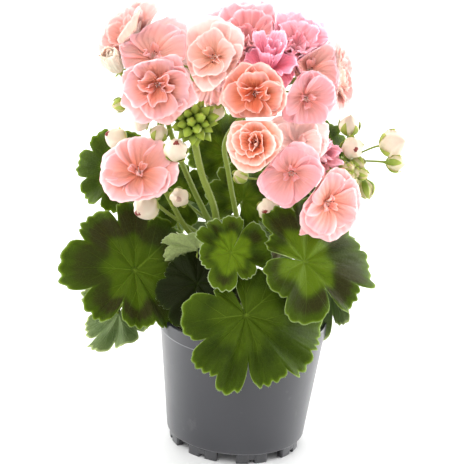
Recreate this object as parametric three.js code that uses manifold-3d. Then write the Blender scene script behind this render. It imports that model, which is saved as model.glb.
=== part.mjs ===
// A potted zonal geranium with double salmon-pink blooms, in millimetres, +Z up.
// The origin is the point where the pot's axis meets the surface it stands on, and -Y is the front.
import * as THREE from "three";
import { mergeVertices } from "three/addons/utils/BufferGeometryUtils.js";
import Module from "manifold-3d";

const wasm = await Module();
wasm.setup();

// Pot
const potHeight = 102;
const rimRadius = 63.6;
const rimEdge = 0.8;
const bandHeight = 11;
const bodyTopRadius = 62.6;
const bodyBottomRadius = 52.8;
const wall = 2;
const footHeight = 8;
const footRadius = 50.2;
const footWall = 5;
const notches = 8;
const deepNotchWidth = 15;
const shallowNotchWidth = 5;
const shallowNotchDepth = 3;
const notchTurn = -6;
const gateRadius = 9;
const seam = 1.2;
const potSides = 36;

// Soil
const soilTop = 90;
const soilSides = 20;
const stemHoleRadius = 6.6;
const stemHoleDepth = 32;

// Plant
const clearance = 0.35;
const trunkRadius = 5;
const branchRadius = 3.8;
const leafStalkRadius = 1.4;
const flowerStalkRadius = 2.3;
const pedicelRadius = 0.9;
const bladeThickness = 0.9;
const petalThickness = 0.8;

// Small helpers for solids

function solidOf(geometry) {
  const bare = geometry.index ? geometry.toNonIndexed() : geometry.clone();
  bare.deleteAttribute("normal");
  bare.deleteAttribute("uv");
  const merged = mergeVertices(bare, 1e-4);
  return new wasm.Manifold(
    new wasm.Mesh({
      numProp: 3,
      vertProperties: merged.attributes.position.array,
      triVerts: new Uint32Array(merged.index.array),
    }),
  );
}

function solidFrom(positions, index) {
  const geometry = new THREE.BufferGeometry();
  geometry.setAttribute("position", new THREE.Float32BufferAttribute(positions, 3));
  geometry.setIndex(index);
  return solidOf(geometry);
}

function geometryOf(solid) {
  const mesh = solid.getMesh();
  const geometry = new THREE.BufferGeometry();
  geometry.setAttribute("position", new THREE.BufferAttribute(mesh.vertProperties, 3));
  geometry.setIndex(new THREE.BufferAttribute(mesh.triVerts, 1));
  geometry.computeVertexNormals();
  return geometry;
}

function join(solids) {
  return solids.reduce((whole, piece) => whole.add(piece));
}

const radians = THREE.MathUtils.degToRad;

function vector(point) {
  return new THREE.Vector3(...point);
}

// A direction from its turn (0 is the front, 90 the right) and its tilt above the horizon, in degrees.
function direction([turn, tilt]) {
  const a = radians(turn);
  const b = radians(tilt);
  return new THREE.Vector3(Math.sin(a) * Math.cos(b), -Math.cos(a) * Math.cos(b), Math.sin(b));
}

// A seeded random source, so that every build gives the same plant.
function randomSource(seed) {
  let state = seed * 7919;
  return () => {
    state = (state * 1664525 + 1013904223) % 4294967296;
    return state / 4294967296;
  };
}

function lathe(profile, sides) {
  const geometry = new THREE.LatheGeometry(profile.map(([x, y]) => new THREE.Vector2(x, y)), sides);
  geometry.rotateX(Math.PI / 2);
  return solidOf(geometry);
}

function cylinder(radius, z0, z1, sides) {
  const geometry = new THREE.CylinderGeometry(radius, radius, z1 - z0, sides);
  geometry.rotateX(Math.PI / 2);
  geometry.translate(0, 0, (z0 + z1) / 2);
  return solidOf(geometry);
}

function smooth(points) {
  return new THREE.CatmullRomCurve3(points, false, "centripetal");
}

// A stalk: rings of points carried along a smooth curve through the given points, thinner towards its end.
function stalk(points, radius0, radius1, steps, sides) {
  const curve = smooth(points);
  const frames = curve.computeFrenetFrames(steps);
  const positions = [];
  const index = [];
  for (let i = 0; i <= steps; i++) {
    const centre = curve.getPointAt(i / steps);
    const radius = THREE.MathUtils.lerp(radius0, radius1, i / steps);
    for (let j = 0; j < sides; j++) {
      const a = (2 * Math.PI * j) / sides;
      const p = centre.clone();
      p.addScaledVector(frames.normals[i], radius * Math.cos(a));
      p.addScaledVector(frames.binormals[i], radius * Math.sin(a));
      positions.push(p.x, p.y, p.z);
    }
  }
  for (let i = 0; i < steps; i++)
    for (let j = 0; j < sides; j++) {
      const a = i * sides + j;
      const b = i * sides + ((j + 1) % sides);
      index.push(a, b, b + sides, a, b + sides, a + sides);
    }
  const end = steps * sides;
  for (let j = 1; j < sides - 1; j++) {
    index.push(0, j + 1, j);
    index.push(end, end + j, end + j + 1);
  }
  return solidFrom(positions, index);
}

// A thin blade: a surface of points and triangles given half its thickness to each side along its normals
// and closed by a wall round its edge, so both faces are split into the same triangles.
function blade(points, triangles, thickness) {
  const normals = points.map(() => new THREE.Vector3());
  const edges = new Map();
  for (const [a, b, c] of triangles) {
    const n = points[b].clone().sub(points[a]).cross(points[c].clone().sub(points[a]));
    for (const i of [a, b, c]) normals[i].add(n);
    for (const [i, j] of [[a, b], [b, c], [c, a]])
      if (!edges.delete(j + "," + i)) edges.set(i + "," + j, [i, j]);
  }
  const positions = [];
  for (const side of [1, -1])
    points.forEach((p, i) => {
      const q = p.clone().addScaledVector(normals[i].clone().normalize(), (side * thickness) / 2);
      positions.push(q.x, q.y, q.z);
    });
  const index = [];
  const n = points.length;
  for (const [a, b, c] of triangles) index.push(a, b, c, a + n, c + n, b + n);
  for (const [i, j] of edges.values()) index.push(j, i, i + n, j, i + n, j + n);
  return solidFrom(positions, index);
}

// Pot: a tapered shell with a rim band, on a ring foot with deep and shallow notches by turns

function makePot() {
  const floorTop = footHeight + wall;
  const bandBottom = potHeight - bandHeight;
  const profile = [
    [0, footHeight],
    [bodyBottomRadius - seam, footHeight],
    [bodyBottomRadius, footHeight + seam],
    [bodyTopRadius, bandBottom],
    [rimRadius, bandBottom + 1],
    [rimRadius, potHeight - rimEdge],
    [rimRadius - rimEdge, potHeight],
    [rimRadius - wall, potHeight],
    [bodyTopRadius - wall, bandBottom - 2],
    [bodyBottomRadius - wall, floorTop],
    [0, floorTop],
  ];
  const ring = [
    [footRadius - footWall, 0],
    [footRadius, 0],
    [footRadius, footHeight + wall / 2],
    [footRadius - footWall, footHeight + wall / 2],
    [footRadius - footWall, 0],
  ];
  let foot = lathe(ring, potSides);
  for (let i = 0; i < 2 * notches; i++) {
    const deep = i % 2 === 0;
    const width = deep ? deepNotchWidth : shallowNotchWidth;
    const height = deep ? footHeight : shallowNotchDepth;
    const cutter = new THREE.BoxGeometry(width, 4 * footWall, 2 * height);
    cutter.translate(0, -footRadius, 0);
    cutter.rotateZ(radians(notchTurn + (i * 180) / notches));
    foot = foot.subtract(solidOf(cutter));
  }
  return lathe(profile, potSides).add(foot).add(cylinder(gateRadius, 0, footHeight + 1, 16));
}

// Soil: fills the pot, with a lightly domed top and a plain hole for the stem

function makeSoil() {
  const bottom = footHeight + wall + clearance;
  const slope = (bodyTopRadius - bodyBottomRadius) / (potHeight - bandHeight - footHeight);
  const corner = 1 / Math.cos(Math.PI / potSides);
  const radiusAt = (z) => (bodyBottomRadius - wall + slope * (z - footHeight)) / corner - 2 * clearance;
  const profile = [
    [0, bottom],
    [radiusAt(bottom) - 1, bottom],
    [radiusAt(soilTop) - 1, soilTop - 2],
    [radiusAt(soilTop) * 0.85, soilTop],
    [radiusAt(soilTop) * 0.45, soilTop + 1.5],
    [0, soilTop + 1],
  ];
  const hole = cylinder(stemHoleRadius, soilTop - stemHoleDepth, potHeight, 10);
  return lathe(profile, soilSides).subtract(hole);
}

// Stems: the trunk stands in the soil's hole and splits into branches

const branches = {
  trunk: [[0, 0, soilTop - stemHoleDepth + clearance], [0, 0, 95], [0, 0, 118], [0, 2, 134]],
  left: [[0, 0, 108], [-11, -2, 126], [-19, -3, 144], [-23, -2, 162]],
  right: [[0, 0, 112], [12, 3, 130], [21, 7, 148], [26, 10, 168]],
  back: [[0, 0, 114], [0, 14, 132], [-2, 26, 150], [-4, 34, 172]],
};

function makeStems() {
  const tubes = Object.entries(branches).map(([name, points]) => {
    const thick = name === "trunk" ? trunkRadius : branchRadius;
    return stalk(points.map(vector), thick, thick * 0.85, 4, 6);
  });
  return join(tubes);
}

const stems = makeStems();
const bark = new THREE.Mesh(geometryOf(stems), new THREE.MeshBasicMaterial({ side: THREE.DoubleSide }));

// The place where a stalk grows from a branch, on the side towards a target: just clear of the bark, with
// the bark's own way out.
function growthPoint([branchName, along], target) {
  const curve = smooth(branches[branchName].map(vector));
  const centre = curve.getPointAt(along);
  const axis = curve.getTangentAt(along);
  const aim = target.clone().sub(centre);
  aim.addScaledVector(axis, -aim.dot(axis)).normalize();
  const hit = new THREE.Raycaster(centre, aim).intersectObject(bark)[0];
  const out = hit.face.normal.clone();
  return { start: hit.point.clone().addScaledVector(out, clearance), out };
}

// Leaves: round in outline, cut into lobes with rounded teeth, each on a stalk from a branch.
// The lobe lengths go round the leaf from one side of its stalk to the other, as shares of its size.

const usualLobes = [0.8, 0.9, 0.97, 1, 0.97, 0.9, 0.8];
const lobeSpread = 144;
const toothPlaces = [-0.5, -0.37, -0.2, 0, 0.2, 0.37];
const toothLengths = [0, 0.93, 0.91, 1, 0.93, 0.95];
const notchLength = 0.74;
const bowl = 0.2;
const veinFold = 0.05;
const edgeWave = 0.05;

const leaves = [
  { name: "leaf_left_front", at: [-84, -15, 136], size: 59, face: [19, 38], tip: [-68, 2],
    lobes: [0.9, 0.92, 0.95, 1, 0.9, 0.84, 0.8], droop: 0.1, grows: ["left", 0.6] },
  { name: "leaf_left_high", at: [-103, 38, 196], size: 36, face: [-15, 22], tip: [-95, 8],
    droop: 0.1, grows: ["left", 0.9], knee: [-62, 19, 171] },
  { name: "leaf_left_low", at: [-99, 4, 96], size: 36, face: [-40, 35], tip: [-72, -55],
    droop: 0.2, grows: ["left", 0.35], knee: [-72, 8, 114] },
  { name: "leaf_front", at: [1, -62, 125], size: 60, face: [15, 28], tip: [60, -57],
    lobes: [0.66, 0.84, 1, 1, 1.02, 0.93, 0.6], droop: 0.14, grows: ["trunk", 0.85] },
  { name: "leaf_young", at: [-13, -52, 169], size: 33, face: [11, 35], tip: [-11, -52],
    droop: 0.08, grows: ["trunk", 0.95] },
  { name: "leaf_right", at: [41, -42, 162.5], size: 55, face: [31, 33], tip: [111, -14],
    lobes: [0.76, 0.92, 1, 1.02, 1.08, 1.02, 0.98, 0.9, 0.8], droop: 0.12, grows: ["right", 0.6] },
  { name: "leaf_right_low", at: [67, 2, 134], size: 38, face: [100, 20], tip: [60, -55],
    droop: 0.1, grows: ["right", 0.35], knee: [52, 4, 136] },
  { name: "leaf_pot_edge", at: [-36, -33, 136], size: 38, face: [-5, 40], tip: [-20, -50],
    lobes: [0.6, 0.6, 0.85, 0.95, 0.9, 0.8, 0.7], droop: 0.1, grows: ["left", 0.3] },
  { name: "leaf_pale", at: [-37, -16, 152], size: 27, face: [170, 40], tip: [-100, 30],
    lobes: [0.6, 0.8, 0.97, 1, 0.97, 0.8, 0.6], droop: 0.08, grows: ["left", 0.8] },
  { name: "leaf_right_high", at: [49, 43, 226], size: 28, face: [30, 50], tip: [100, 20],
    droop: 0.08, grows: ["right", 0.9], knee: [36, 36, 200] },
  { name: "leaf_right_middle", at: [38, 36, 172], size: 36, face: [20, 40], tip: [60, 20],
    droop: 0.12, grows: ["right", 0.7] },
  { name: "leaf_middle_high", at: [-20, 56, 210], size: 36, face: [0, 30], tip: [180, 60],
    droop: 0.12, grows: ["back", 0.95] },
  { name: "leaf_middle", at: [-7, 24, 185], size: 32, face: [10, 35], tip: [150, 50],
    droop: 0.12, grows: ["back", 0.8] },
  { name: "leaf_left_middle", at: [-54, 34, 180], size: 29, face: [-10, 30], tip: [-100, 30],
    droop: 0.12, grows: ["back", 0.6] },
  { name: "leaf_back_left", at: [-60, 76, 154], size: 42, face: [-145, 45], tip: [-130, -20],
    droop: 0.12, grows: ["back", 0.5] },
  { name: "leaf_back", at: [-4, 90, 132], size: 50, face: [180, 40], tip: [180, -35],
    droop: 0.12, grows: ["back", 0.4] },
  { name: "leaf_back_right", at: [56, 74, 150], size: 40, face: [140, 45], tip: [130, -25],
    droop: 0.12, grows: ["right", 0.2] },
  { name: "leaf_back_high", at: [16, 84, 190], size: 36, face: [170, 48], tip: [170, 0],
    droop: 0.12, grows: ["back", 0.9] },
];

// The height of a leaf above its plane, as a share of its size: a shallow bowl at the stalk, folded along
// the veins, drooping and waved towards its edge.
function leafHeight(leaf, reach, phi, inLobe) {
  const wave = edgeWave * reach * reach * Math.sin(3 * phi + leaf.at[0]);
  const fold = veinFold * reach * Math.cos(2 * Math.PI * inLobe);
  return bowl * reach - fold - (leaf.droop + bowl) * reach * reach + wave;
}

function makeLeaf(leaf) {
  const lobes = leaf.lobes ?? usualLobes;
  const count = lobes.length;
  const spacing = (2 * lobeSpread) / (count - 1);
  const up = direction(leaf.face);
  const tip = direction(leaf.tip);
  tip.addScaledVector(up, -tip.dot(up)).normalize();
  const side = up.clone().cross(tip);
  const centre = vector(leaf.at);
  const place = (reach, degrees, inLobe) => {
    const phi = radians(degrees);
    return centre
      .clone()
      .addScaledVector(tip, leaf.size * reach * Math.cos(phi))
      .addScaledVector(side, leaf.size * reach * Math.sin(phi))
      .addScaledVector(up, leaf.size * leafHeight(leaf, reach, phi, inLobe));
  };
  const points = [centre];
  const edge = [];
  const middle = [];
  const addSpoke = (reach, degrees, inLobe, split) => {
    edge.push(points.length);
    points.push(place(reach, degrees, inLobe));
    if (!split) return;
    middle.push([points.length, edge.length - 1]);
    points.push(place(0.5 * reach, degrees, inLobe));
  };
  const lengthAt = (i) => lobes[THREE.MathUtils.clamp(i, 0, count - 1)];
  for (let i = 0; i < count; i++) {
    const centreLine = (i - (count - 1) / 2) * spacing;
    const notch = notchLength * Math.min(lengthAt(i), lengthAt(i - 1));
    toothPlaces.forEach((where, k) => {
      const reach = k === 0 ? notch : toothLengths[k] * lobes[i];
      addSpoke(reach, centreLine + where * spacing, where, k === 0 || k === 3);
    });
  }
  addSpoke(notchLength * lengthAt(count), (count / 2) * spacing, 0.5, true);

  const triangles = [];
  for (let i = 0; i + 1 < middle.length; i++) {
    const [a, from] = middle[i];
    const [b, to] = middle[i + 1];
    const half = Math.floor((from + to) / 2);
    triangles.push([0, a, b], [a, edge[half], b]);
    for (let j = from; j < to; j++) triangles.push([j < half ? a : b, edge[j], edge[j + 1]]);
  }
  const plate = blade(points, triangles, bladeThickness);

  const foot = growthPoint(leaf.grows, centre);
  const usualKnee = centre.clone().addScaledVector(up, -0.25 * centre.distanceTo(foot.start));
  const knee = leaf.knee ? vector(leaf.knee) : usualKnee;
  const below = centre.clone().addScaledVector(up, -4);
  const end = centre.clone().addScaledVector(up, -0.3 * bladeThickness);
  const first = foot.start.clone().addScaledVector(foot.out, 6);
  return plate.add(stalk([foot.start, first, knee, below, end], leafStalkRadius, 0.9, 4, 4));
}

// Blooms: two layers of petals in a cup round a small heart, each bloom giving way to its neighbours.
// A petal leans away from the bloom's axis by its root angle at the heart and its tip angle at its end.

const petalLayers = [
  { petals: 5, root: 50, tip: 96, length: 1.1, width: 1.12, turn: 0, height: 0 },
  { petals: 4, root: 24, tip: 58, length: 0.74, width: 0.72, turn: 30, height: 1.6 },
];
const heartRadius = 1.6;
const clawRadius = 2.4;
const petalSpoon = 0.2;
const petalTwist = 0.14;
const petalSoftness = 5;

const blooms = [
  { name: "bloom_a_top_left", head: "a", at: [-95, 8, 303], size: 26, face: [-92, 45], closed: 0 },
  { name: "bloom_a_top", head: "a", at: [-76, 4, 300], size: 28, face: [-8, 64], closed: 0 },
  { name: "bloom_a_front", head: "a", at: [-71, -16, 278], size: 27, face: [-5, 8], closed: 0 },
  { name: "bloom_a_half_open", head: "a", at: [-104, -3, 290], size: 16, face: [-70, 15], closed: 42 },
  { name: "bloom_a_back", head: "a", at: [-72, 28, 280], size: 24, face: [170, 20], closed: 0 },
  { name: "bloom_b_left", head: "b", at: [-30, -8, 307], size: 26, face: [-30, 18], closed: 0 },
  { name: "bloom_b_top", head: "b", at: [-9, 18, 317], size: 31, face: [0, 74], closed: 0 },
  { name: "bloom_b_middle", head: "b", at: [8, -4, 300], size: 25, face: [5, 45], closed: 30 },
  { name: "bloom_b_top_right", head: "b", at: [27, 14, 314], size: 22, face: [40, 60], closed: 0 },
  { name: "bloom_b_right", head: "b", at: [42, 22, 302], size: 21, face: [65, 30], closed: 0 },
  { name: "bloom_b_far_right", head: "b", at: [48, 28, 284], size: 20, face: [110, 5], closed: 0 },
  { name: "bloom_b_front", head: "b", at: [-5, -25, 287], size: 25, face: [-5, 6], closed: 0 },
  { name: "bloom_b_front_right", head: "b", at: [35, -12, 284], size: 22, face: [30, 2], closed: 0 },
  { name: "bloom_b_back_left", head: "b", at: [-30, 26, 280], size: 20, face: [-120, 5], closed: 0 },
  { name: "bloom_b_back", head: "b", at: [-4, 42, 288], size: 24, face: [180, 20], closed: 0 },
  { name: "bloom_b_back_right", head: "b", at: [29, 44, 280], size: 23, face: [150, 10], closed: 0 },
  { name: "bloom_c", head: "c", at: [-84, -22, 219], size: 28.5, face: [-12, 10], closed: 0 },
  { name: "bloom_d_left", head: "d", at: [3, -30, 248], size: 21, face: [-18, 14], closed: 10 },
  { name: "bloom_d_front", head: "d", at: [25, -38, 231], size: 26, face: [0, -4], closed: 0 },
  { name: "bloom_d_low", head: "d", at: [54, -29, 207], size: 28, face: [30, -6], closed: 0 },
  { name: "bloom_d_top", head: "d", at: [26, -9, 245], size: 25, face: [0, 64], closed: 0 },
  { name: "bloom_d_right", head: "d", at: [46, -2, 229], size: 17, face: [70, 8], closed: 0 },
];

// A point of a petal in the bloom's own frame. The petal is a little spoon-shaped and twisted, and it keeps
// to its own sector of the bloom, so it wraps round the axis where the bloom is closed.
function petalPoint(bloom, layer, turn, along, across) {
  const root = radians(layer.root * (1 - bloom.closed / 90));
  const tip = radians(layer.tip - bloom.closed);
  const lean = root + (tip - root) * along;
  const length = layer.length * bloom.size;
  const r = clawRadius + (length * (Math.cos(root) - Math.cos(lean))) / (tip - root);
  const h = layer.height + (length * (Math.sin(lean) - Math.sin(root))) / (tip - root);
  const half = 0.5 * layer.width * bloom.size * Math.sin(Math.PI * (0.04 + 0.72 * along ** 0.9));
  const lift = petalSpoon * half * across * across + petalTwist * half * across;
  const out = r - lift * Math.cos(lean);
  const sector = (0.95 * Math.PI) / layer.petals;
  const spread = along > 0 ? Math.min(Math.atan(half / r), sector) : Math.PI / layer.petals;
  const angle = turn + across * spread;
  return new THREE.Vector3(out * Math.cos(angle), out * Math.sin(angle), h + lift * Math.sin(lean));
}

// Pushes a point back softly where it would cross the middle between a bloom and one of its neighbours.
function giveWay(point, bloom) {
  const gap = (petalThickness + clearance) / 2 + 0.1;
  for (const other of blooms) {
    const toward = vector(other.at).sub(vector(bloom.at));
    const distance = toward.length();
    if (other === bloom || distance > 1.3 * (bloom.size + other.size)) continue;
    toward.divideScalar(distance);
    const share = bloom.size / (bloom.size + other.size);
    const past = point.clone().sub(vector(bloom.at)).dot(toward) - distance * share + gap;
    if (past > -petalSoftness) {
      const kept = -petalSoftness * Math.exp(-(past + petalSoftness) / petalSoftness);
      point.addScaledVector(toward, kept - past);
    }
  }
  return point;
}

// The rows of a petal past its root, and its triangles, counted from its two root points on.
const petalRows = [
  [0.55, -1], [0.55, 0], [0.55, 1],
  [1, -0.8], [1, 0.8],
];
const petalTriangles = [
  [0, 2, 3], [0, 3, 1], [1, 3, 4],
  [2, 5, 3], [3, 5, 6], [3, 6, 4],
];

// One layer of petals as one blade: a small middle whose corners are the roots that neighbours share.
function makeLayer(bloom, layer, frame, random) {
  const step = (2 * Math.PI) / layer.petals;
  const turns = Array.from({ length: layer.petals }, (_, k) => radians(layer.turn) + k * step);
  const points = [new THREE.Vector3(0, 0, layer.height)];
  for (const turn of turns) points.push(petalPoint(bloom, { ...layer, width: 0 }, turn, 0, -1));
  const triangles = [];
  turns.forEach((turn, k) => {
    const roots = [1 + k, 1 + ((k + 1) % layer.petals)];
    const corners = [...roots, ...petalRows.map((_, i) => points.length + i)];
    const stretch = 1 + 0.12 * (random() - 0.5);
    for (const [along, across] of petalRows)
      points.push(petalPoint(bloom, { ...layer, length: layer.length * stretch }, turn, along, across));
    triangles.push([0, ...roots]);
    for (const triangle of petalTriangles) triangles.push(triangle.map((corner) => corners[corner]));
  });
  for (const point of points) giveWay(point.applyMatrix4(frame), bloom);
  return blade(points, triangles, petalThickness);
}

function frameAlong(at, face, spin) {
  const upright = new THREE.Vector3(0, 0, 1);
  const turned = new THREE.Quaternion().setFromUnitVectors(upright, direction(face));
  turned.multiply(new THREE.Quaternion().setFromAxisAngle(upright, spin));
  return new THREE.Matrix4().compose(vector(at), turned, new THREE.Vector3(1, 1, 1));
}

function makeBloom(bloom, number) {
  const random = randomSource(number + 1);
  const frame = frameAlong(bloom.at, bloom.face, 2 * Math.PI * random());
  const heart = new THREE.CylinderGeometry(heartRadius, heartRadius, 5, 3);
  heart.rotateX(Math.PI / 2);
  heart.translate(0, 0, 1);
  heart.applyMatrix4(frame);
  const layers = petalLayers.map((layer) => makeLayer(bloom, layer, frame, random));
  return join([solidOf(heart), ...layers]);
}

// Flower heads: a thick stalk from a branch to a hub, and from there a thin stalk to each bloom and bud

const heads = {
  a: { at: [-72, 6, 276], grows: ["left", 0.97], via: [[-46, 4, 200], [-66, 6, 245]] },
  b: { at: [4, 8, 276], grows: ["trunk", 0.98], via: [[-6, 3, 160], [-19, 2, 212], [-23, 2, 237]] },
  c: { at: [-68, 0, 200], grows: ["left", 0.7], via: [[-45, 0, 164]] },
  d: { at: [30, -4, 212], grows: ["right", 0.8], via: [[26, 0, 185]] },
  e: { at: [66, 14, 225], grows: ["right", 0.97], via: [[50, 16, 195]] },
  f: { at: [-47, -8, 243], grows: ["left", 0.88], via: [[-28, -8, 188], [-39, -8, 214]] },
};
const hubRadius = 3.2;

const buds = [
  { head: "a", at: [-97, -6, 264], size: 5, face: [-60, -10] },
  { head: "a", at: [-82, -8, 251], size: 5.5, face: [-30, -60] },
  { head: "a", at: [-70, -4, 244], size: 6, face: [10, -70] },
  { head: "b", at: [-29, 14, 262], size: 7, face: [-30, -50] },
  { head: "c", at: [-100, 2, 233], size: 7.5, face: [-60, 50] },
  { head: "c", at: [-57, -24, 232], size: 8.5, face: [20, 40] },
  { head: "c", at: [-78, -18, 186], size: 9, face: [-10, -40] },
  { head: "c", at: [-54, -12, 195], size: 6.5, face: [30, -20] },
  { head: "d", at: [13, -18, 194], size: 8, face: [-20, -60] },
  { head: "d", at: [-10, -8, 214], size: 5.5, face: [-70, 10] },
  { head: "e", at: [68, 14, 251], size: 7.5, face: [10, 75] },
  { head: "e", at: [74, 2, 237], size: 8, face: [10, 10] },
  { head: "e", at: [99, 14, 241], size: 10, face: [75, 20] },
  { head: "e", at: [104, 10, 225], size: 6.5, face: [90, 0] },
  { head: "e", at: [80, 8, 220], size: 5.5, face: [60, -20] },
  { head: "e", at: [85, 10, 205], size: 6.5, face: [60, -70] },
  { head: "e", at: [62, 22, 210], size: 6, face: [160, -40] },
];

// A bud: an egg of folded petals rising from a narrow green cup. Its outline is radius and height as shares
// of the bud's size, from the stalk to the point.
const budOutline = [[0, -1.15], [0.3, -1.05], [0.85, -0.4], [0.95, 0.3], [0.55, 1], [0, 1.2]];

function makeBud(bud) {
  const outline = budOutline.map(([x, y]) => new THREE.Vector2(x * bud.size, y * bud.size));
  const egg = new THREE.LatheGeometry(outline, 5);
  egg.rotateX(Math.PI / 2);
  return solidOf(egg.applyMatrix4(frameAlong(bud.at, bud.face, 0)));
}

function makePedicel(hub, at, face, gap) {
  const outward = direction(face);
  const end = vector(at).addScaledVector(outward, -gap);
  const before = vector(at).addScaledVector(outward, -gap - 7);
  return stalk([hub, before, end], pedicelRadius, pedicelRadius, 2, 3);
}

// The tight green head: a ball of small unopened buds round a core, spaced by the golden angle.
const greenHead = { radius: 12, core: 10.5, buds: 22, budSize: 4.4 };

function makeGreenHead(at) {
  const centre = vector(at);
  const core = new THREE.SphereGeometry(greenHead.core, 7, 5);
  core.translate(...at);
  const pieces = [solidOf(core)];
  const golden = Math.PI * (3 - Math.sqrt(5));
  for (let i = 0; i < greenHead.buds; i++) {
    const z = 1 - (2 * (i + 0.5)) / greenHead.buds;
    const ring = Math.sqrt(1 - z * z);
    const outward = new THREE.Vector3(ring * Math.cos(i * golden), ring * Math.sin(i * golden), z);
    const bud = new THREE.OctahedronGeometry(greenHead.budSize, 0);
    bud.scale(1, 1, 1.3);
    const turned = new THREE.Quaternion().setFromUnitVectors(new THREE.Vector3(0, 0, 1), outward);
    bud.applyQuaternion(turned);
    bud.translate(...centre.clone().addScaledVector(outward, greenHead.radius).toArray());
    pieces.push(solidOf(bud));
  }
  return join(pieces);
}

function makeHeadStalks(letter) {
  const head = heads[letter];
  const hub = vector(head.at);
  const via = head.via.map(vector);
  const foot = growthPoint(head.grows, via[0]);
  const first = foot.start.clone().addScaledVector(foot.out, 4);
  const path = [foot.start, first, ...via, hub];
  const pieces = [stalk(path, flowerStalkRadius, flowerStalkRadius * 0.85, 8, 5)];
  if (letter === "f") {
    const ball = hub.clone().addScaledVector(vector([0, 0, 1]), greenHead.core);
    pieces.push(makeGreenHead(ball.toArray()));
    return join(pieces);
  }
  const knob = new THREE.SphereGeometry(hubRadius, 5, 3);
  knob.translate(...head.at);
  pieces.push(solidOf(knob));
  for (const bloom of blooms.filter((one) => one.head === letter))
    pieces.push(makePedicel(hub, bloom.at, bloom.face, 1.9));
  for (const bud of buds.filter((one) => one.head === letter)) {
    pieces.push(makePedicel(hub, bud.at, bud.face, bud.size));
    pieces.push(makeBud(bud));
  }
  return join(pieces);
}

// Assembly

function material(color, roughness) {
  return new THREE.MeshStandardMaterial({ color, roughness, metalness: 0 });
}

const materials = {
  pot: material(0x55565b, 0.45),
  soil: material(0x3a2c20, 0.95),
  stem: material(0x7f9440, 0.7),
  leaf: material(0x4b6e14, 0.6),
  stalk: material(0x96aa41, 0.7),
  petal: material(0xf07d5f, 0.6),
};

const plant = new THREE.Group();

function part(name, solid, look) {
  const mesh = new THREE.Mesh(geometryOf(solid), look);
  mesh.name = name;
  return mesh;
}

plant.add(part("pot", makePot(), materials.pot));
plant.add(part("soil", makeSoil(), materials.soil));
plant.add(part("stems", stems, materials.stem));

const foliage = new THREE.Group();
foliage.name = "foliage";
for (const leaf of leaves) foliage.add(part(leaf.name, makeLeaf(leaf), materials.leaf));
plant.add(foliage);

for (const letter of Object.keys(heads)) {
  const head = new THREE.Group();
  head.name = "head_" + letter;
  head.add(part("stalks_" + letter, makeHeadStalks(letter), materials.stalk));
  blooms.forEach((bloom, number) => {
    if (bloom.head === letter) head.add(part(bloom.name, makeBloom(bloom, number), materials.petal));
  });
  plant.add(head);
}

export default plant;
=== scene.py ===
"""The looks of a potted zonal geranium with double salmon-pink blooms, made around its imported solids.

Shapes are worked out in millimetres in the part's own frame, +Z up and -Y to the front, and are turned
into metres where a mesh is made.
"""

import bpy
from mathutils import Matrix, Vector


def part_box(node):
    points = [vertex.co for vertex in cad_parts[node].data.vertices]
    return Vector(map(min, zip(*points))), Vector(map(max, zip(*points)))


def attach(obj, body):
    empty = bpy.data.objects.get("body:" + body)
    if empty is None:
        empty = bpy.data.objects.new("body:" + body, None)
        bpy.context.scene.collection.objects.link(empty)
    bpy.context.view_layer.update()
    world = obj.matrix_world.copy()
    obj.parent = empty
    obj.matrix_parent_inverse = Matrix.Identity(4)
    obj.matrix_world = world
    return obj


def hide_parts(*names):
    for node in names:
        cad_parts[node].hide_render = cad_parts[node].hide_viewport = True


bl_info = {
    "name": "Potted zonal geranium",
    "version": (1, 0, 0),
    "blender": (4, 5, 0),
    "location": "3D View > Sidebar > Geranium",
    "description": "Leaves, blooms, buds, stems, soil and pot of a zonal geranium, and its studio stage",
    "category": "Object",
}

import bpy
import numpy as np
from bpy.props import FloatProperty, FloatVectorProperty, IntProperty, PointerProperty
from mathutils import Matrix

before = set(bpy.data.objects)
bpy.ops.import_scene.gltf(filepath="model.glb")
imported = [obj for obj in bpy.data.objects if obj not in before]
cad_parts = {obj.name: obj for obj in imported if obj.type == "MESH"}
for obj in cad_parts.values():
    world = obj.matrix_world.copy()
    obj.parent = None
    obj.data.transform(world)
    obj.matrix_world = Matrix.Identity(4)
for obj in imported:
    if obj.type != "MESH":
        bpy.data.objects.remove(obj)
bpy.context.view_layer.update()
MM = 0.001
POT_HIGH = np.array(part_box("pot")[1]) / MM

# The plant's build: branches, leaves, blooms, heads and buds, in millimetres and degrees

BRANCHES = {
    "trunk": [(0, 0, 58.35), (0, 0, 95), (0, 0, 118), (0, 2, 134)],
    "left": [(0, 0, 108), (-11, -2, 126), (-19, -3, 144), (-23, -2, 162)],
    "right": [(0, 0, 112), (12, 3, 130), (21, 7, 148), (26, 10, 168)],
    "back": [(0, 0, 114), (0, 14, 132), (-2, 26, 150), (-4, 34, 172)],
}
TRUNK_RADIUS = 5
BRANCH_RADIUS = 3.8

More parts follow.
